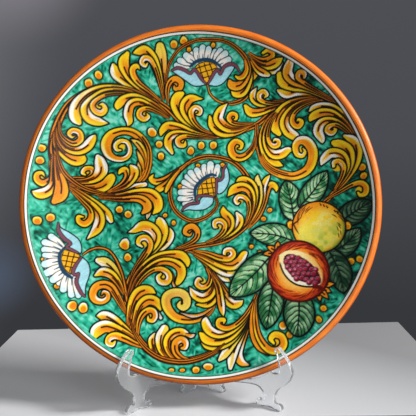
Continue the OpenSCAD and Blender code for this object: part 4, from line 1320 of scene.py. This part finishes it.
# Moulded edges of the easel
ROUNDING, SAME_POINT = 1.4 * MM, 0.01 * MM
for leg in legs:
    weld = nodes[leg].modifiers.new("weld", "WELD")
    weld.merge_threshold = SAME_POINT
    flatten = nodes[leg].modifiers.new("flatten", "DECIMATE")
    flatten.decimate_type = "DISSOLVE"
    flatten.angle_limit = math.radians(1.5)
    soften = nodes[leg].modifiers.new("soften", "BEVEL")
    soften.width = ROUNDING
    soften.segments = 3
    soften.limit_method = "ANGLE"
    soften.angle_limit = math.radians(50)


# Floor, light and camera
def floor():
    """Pale table top, with its corners where the photograph shows them."""
    back_left, back_right = (-0.2026, 0.194), (0.2382, 0.2073)
    front_left, front_right = (-0.2165, -0.062), (0.221, -0.0725)
    corners = (front_left, front_right, back_right, back_left)
    mesh = bpy.data.meshes.new("floor")
    mesh.from_pydata([(x, y, 0) for x, y in corners], [], [(0, 1, 2, 3)])
    table = bpy.data.objects.new("floor", mesh)
    bpy.context.scene.collection.objects.link(table)
    made, tree, shader = material("floor")
    # Painted shade: the table top is darker towards the back right and paler towards the front left
    paler_towards, pale_at_origin = (-2.17, -1.87, 0), 0.706
    slant = vector_maths(tree, "DOT_PRODUCT", place_of(tree), paler_towards)["Value"]
    tone = colours(tree, maths(tree, "ADD", slant, pale_at_origin),
                   [(0.12, "97989B"), (0.45, "C4C7CB"), (0.7, "DDDFE4"), (0.85, "EAECF0")])
    feed(tree, shader, {"Base Color": tone, "Roughness": 0.4})
    mesh.materials.append(made)


def lamp(name, place, size, power, colour):
    """Square lamp that looks at the middle of the part."""
    data = bpy.data.lights.new(name, "AREA")
    data.shape = "RECTANGLE"
    data.size, data.size_y = size, size
    data.energy = power
    data.color = colour
    made = bpy.data.objects.new(name, data)
    made.location = place
    middle = Vector((0, 0, 0.16))
    made.rotation_euler = (middle - Vector(place)).to_track_quat("-Z", "Y").to_euler()
    bpy.context.scene.collection.objects.link(made)


def world():
    """Dark wall that the camera, the gloss and the clear plastic see, and a weak even light."""
    made = bpy.data.worlds.new("world")
    bpy.context.scene.world = made
    made.use_nodes = True
    tree = made.node_tree
    tree.nodes.clear()
    path = node(tree, "ShaderNodeLightPath")
    seen = path.outputs["Is Camera Ray"]
    for name in ("Is Glossy Ray", "Is Transmission Ray"):
        seen = maths(tree, "MAXIMUM", seen, path.outputs[name])
    way = node(tree, "ShaderNodeTexCoord").outputs["Generated"]
    parts = node(tree, "ShaderNodeSeparateXYZ", {"Vector": way}).outputs
    # Painted light on the wall: darker below the horizon, paler towards the left, with a pale glow up at
    # the left and a bluish one lower down
    back = colours(tree, step_at(tree, parts["Z"], -0.03, soft=0.2),
                   [(0.0, "37383C"), (0.55, "4B4C51"), (1.0, "4E4F54")])
    leftwards = vector_maths(tree, "DOT_PRODUCT", way, (-1, 0, 0.25))["Value"]
    back = mixed(tree, step_at(tree, leftwards, 0.302, 0.15, "SMOOTHSTEP"), back, "838489")
    upper_glow = ((-0.212, 0.95, 0.248), 0.147, "8E8A91")
    lower_glow = ((-0.25, 0.953, -0.187), 0.07, "4C5666")
    for centre, reach, colour in (upper_glow, lower_glow):
        apart = vector_maths(tree, "DISTANCE", way, centre)["Value"]
        back = mixed(tree, step_at(tree, apart, reach / 2, -reach / 2, "SMOOTHSTEP"), back, colour)
    room = mixed(tree, step_at(tree, parts["Y"], 0.0, soft=-0.3), back, "D0D2D6")
    wall = node(tree, "ShaderNodeBackground", {"Color": room})
    ambient = node(tree, "ShaderNodeBackground", {"Color": (1, 1, 1, 1), "Strength": 0.18})
    both = node(tree, "ShaderNodeMixShader", {"Fac": seen, 1: ambient.outputs["Background"],
                                              2: wall.outputs["Background"]})
    node(tree, "ShaderNodeOutputWorld", {"Surface": both.outputs["Shader"]})


def camera():
    """Camera at the photograph's place, from a fit to the plate's outline."""
    yaw, pitch, roll = 0.04211, -0.10256, -0.0017
    from_plate = Vector((-0.0202, -0.58766, 0.05316))
    focal_pixels, frame_pixels = 714.2, 416
    data = bpy.data.cameras.new("camera")
    data.sensor_width = 36
    data.lens = data.sensor_width * focal_pixels / frame_pixels
    made = bpy.data.objects.new("camera", data)
    ahead = Vector((math.sin(yaw) * math.cos(pitch), math.cos(yaw) * math.cos(pitch), math.sin(pitch)))
    turn = ahead.to_track_quat("-Z", "Y").to_matrix().to_4x4() @ Matrix.Rotation(roll, 4, "Z")
    made.matrix_world = Matrix.Translation(bead_centre + from_plate) @ turn
    bpy.context.scene.collection.objects.link(made)
    bpy.context.scene.camera = made


floor()
lamp("key", place=(1.3, -0.42, 0.95), size=0.4, power=34, colour=(1, 0.98, 0.95))
lamp("fill", place=(0.75, -1.2, 0.45), size=0.6, power=8, colour=(0.98, 0.99, 1))
world()
camera()
bpy.context.scene.view_settings.view_transform = "Standard"
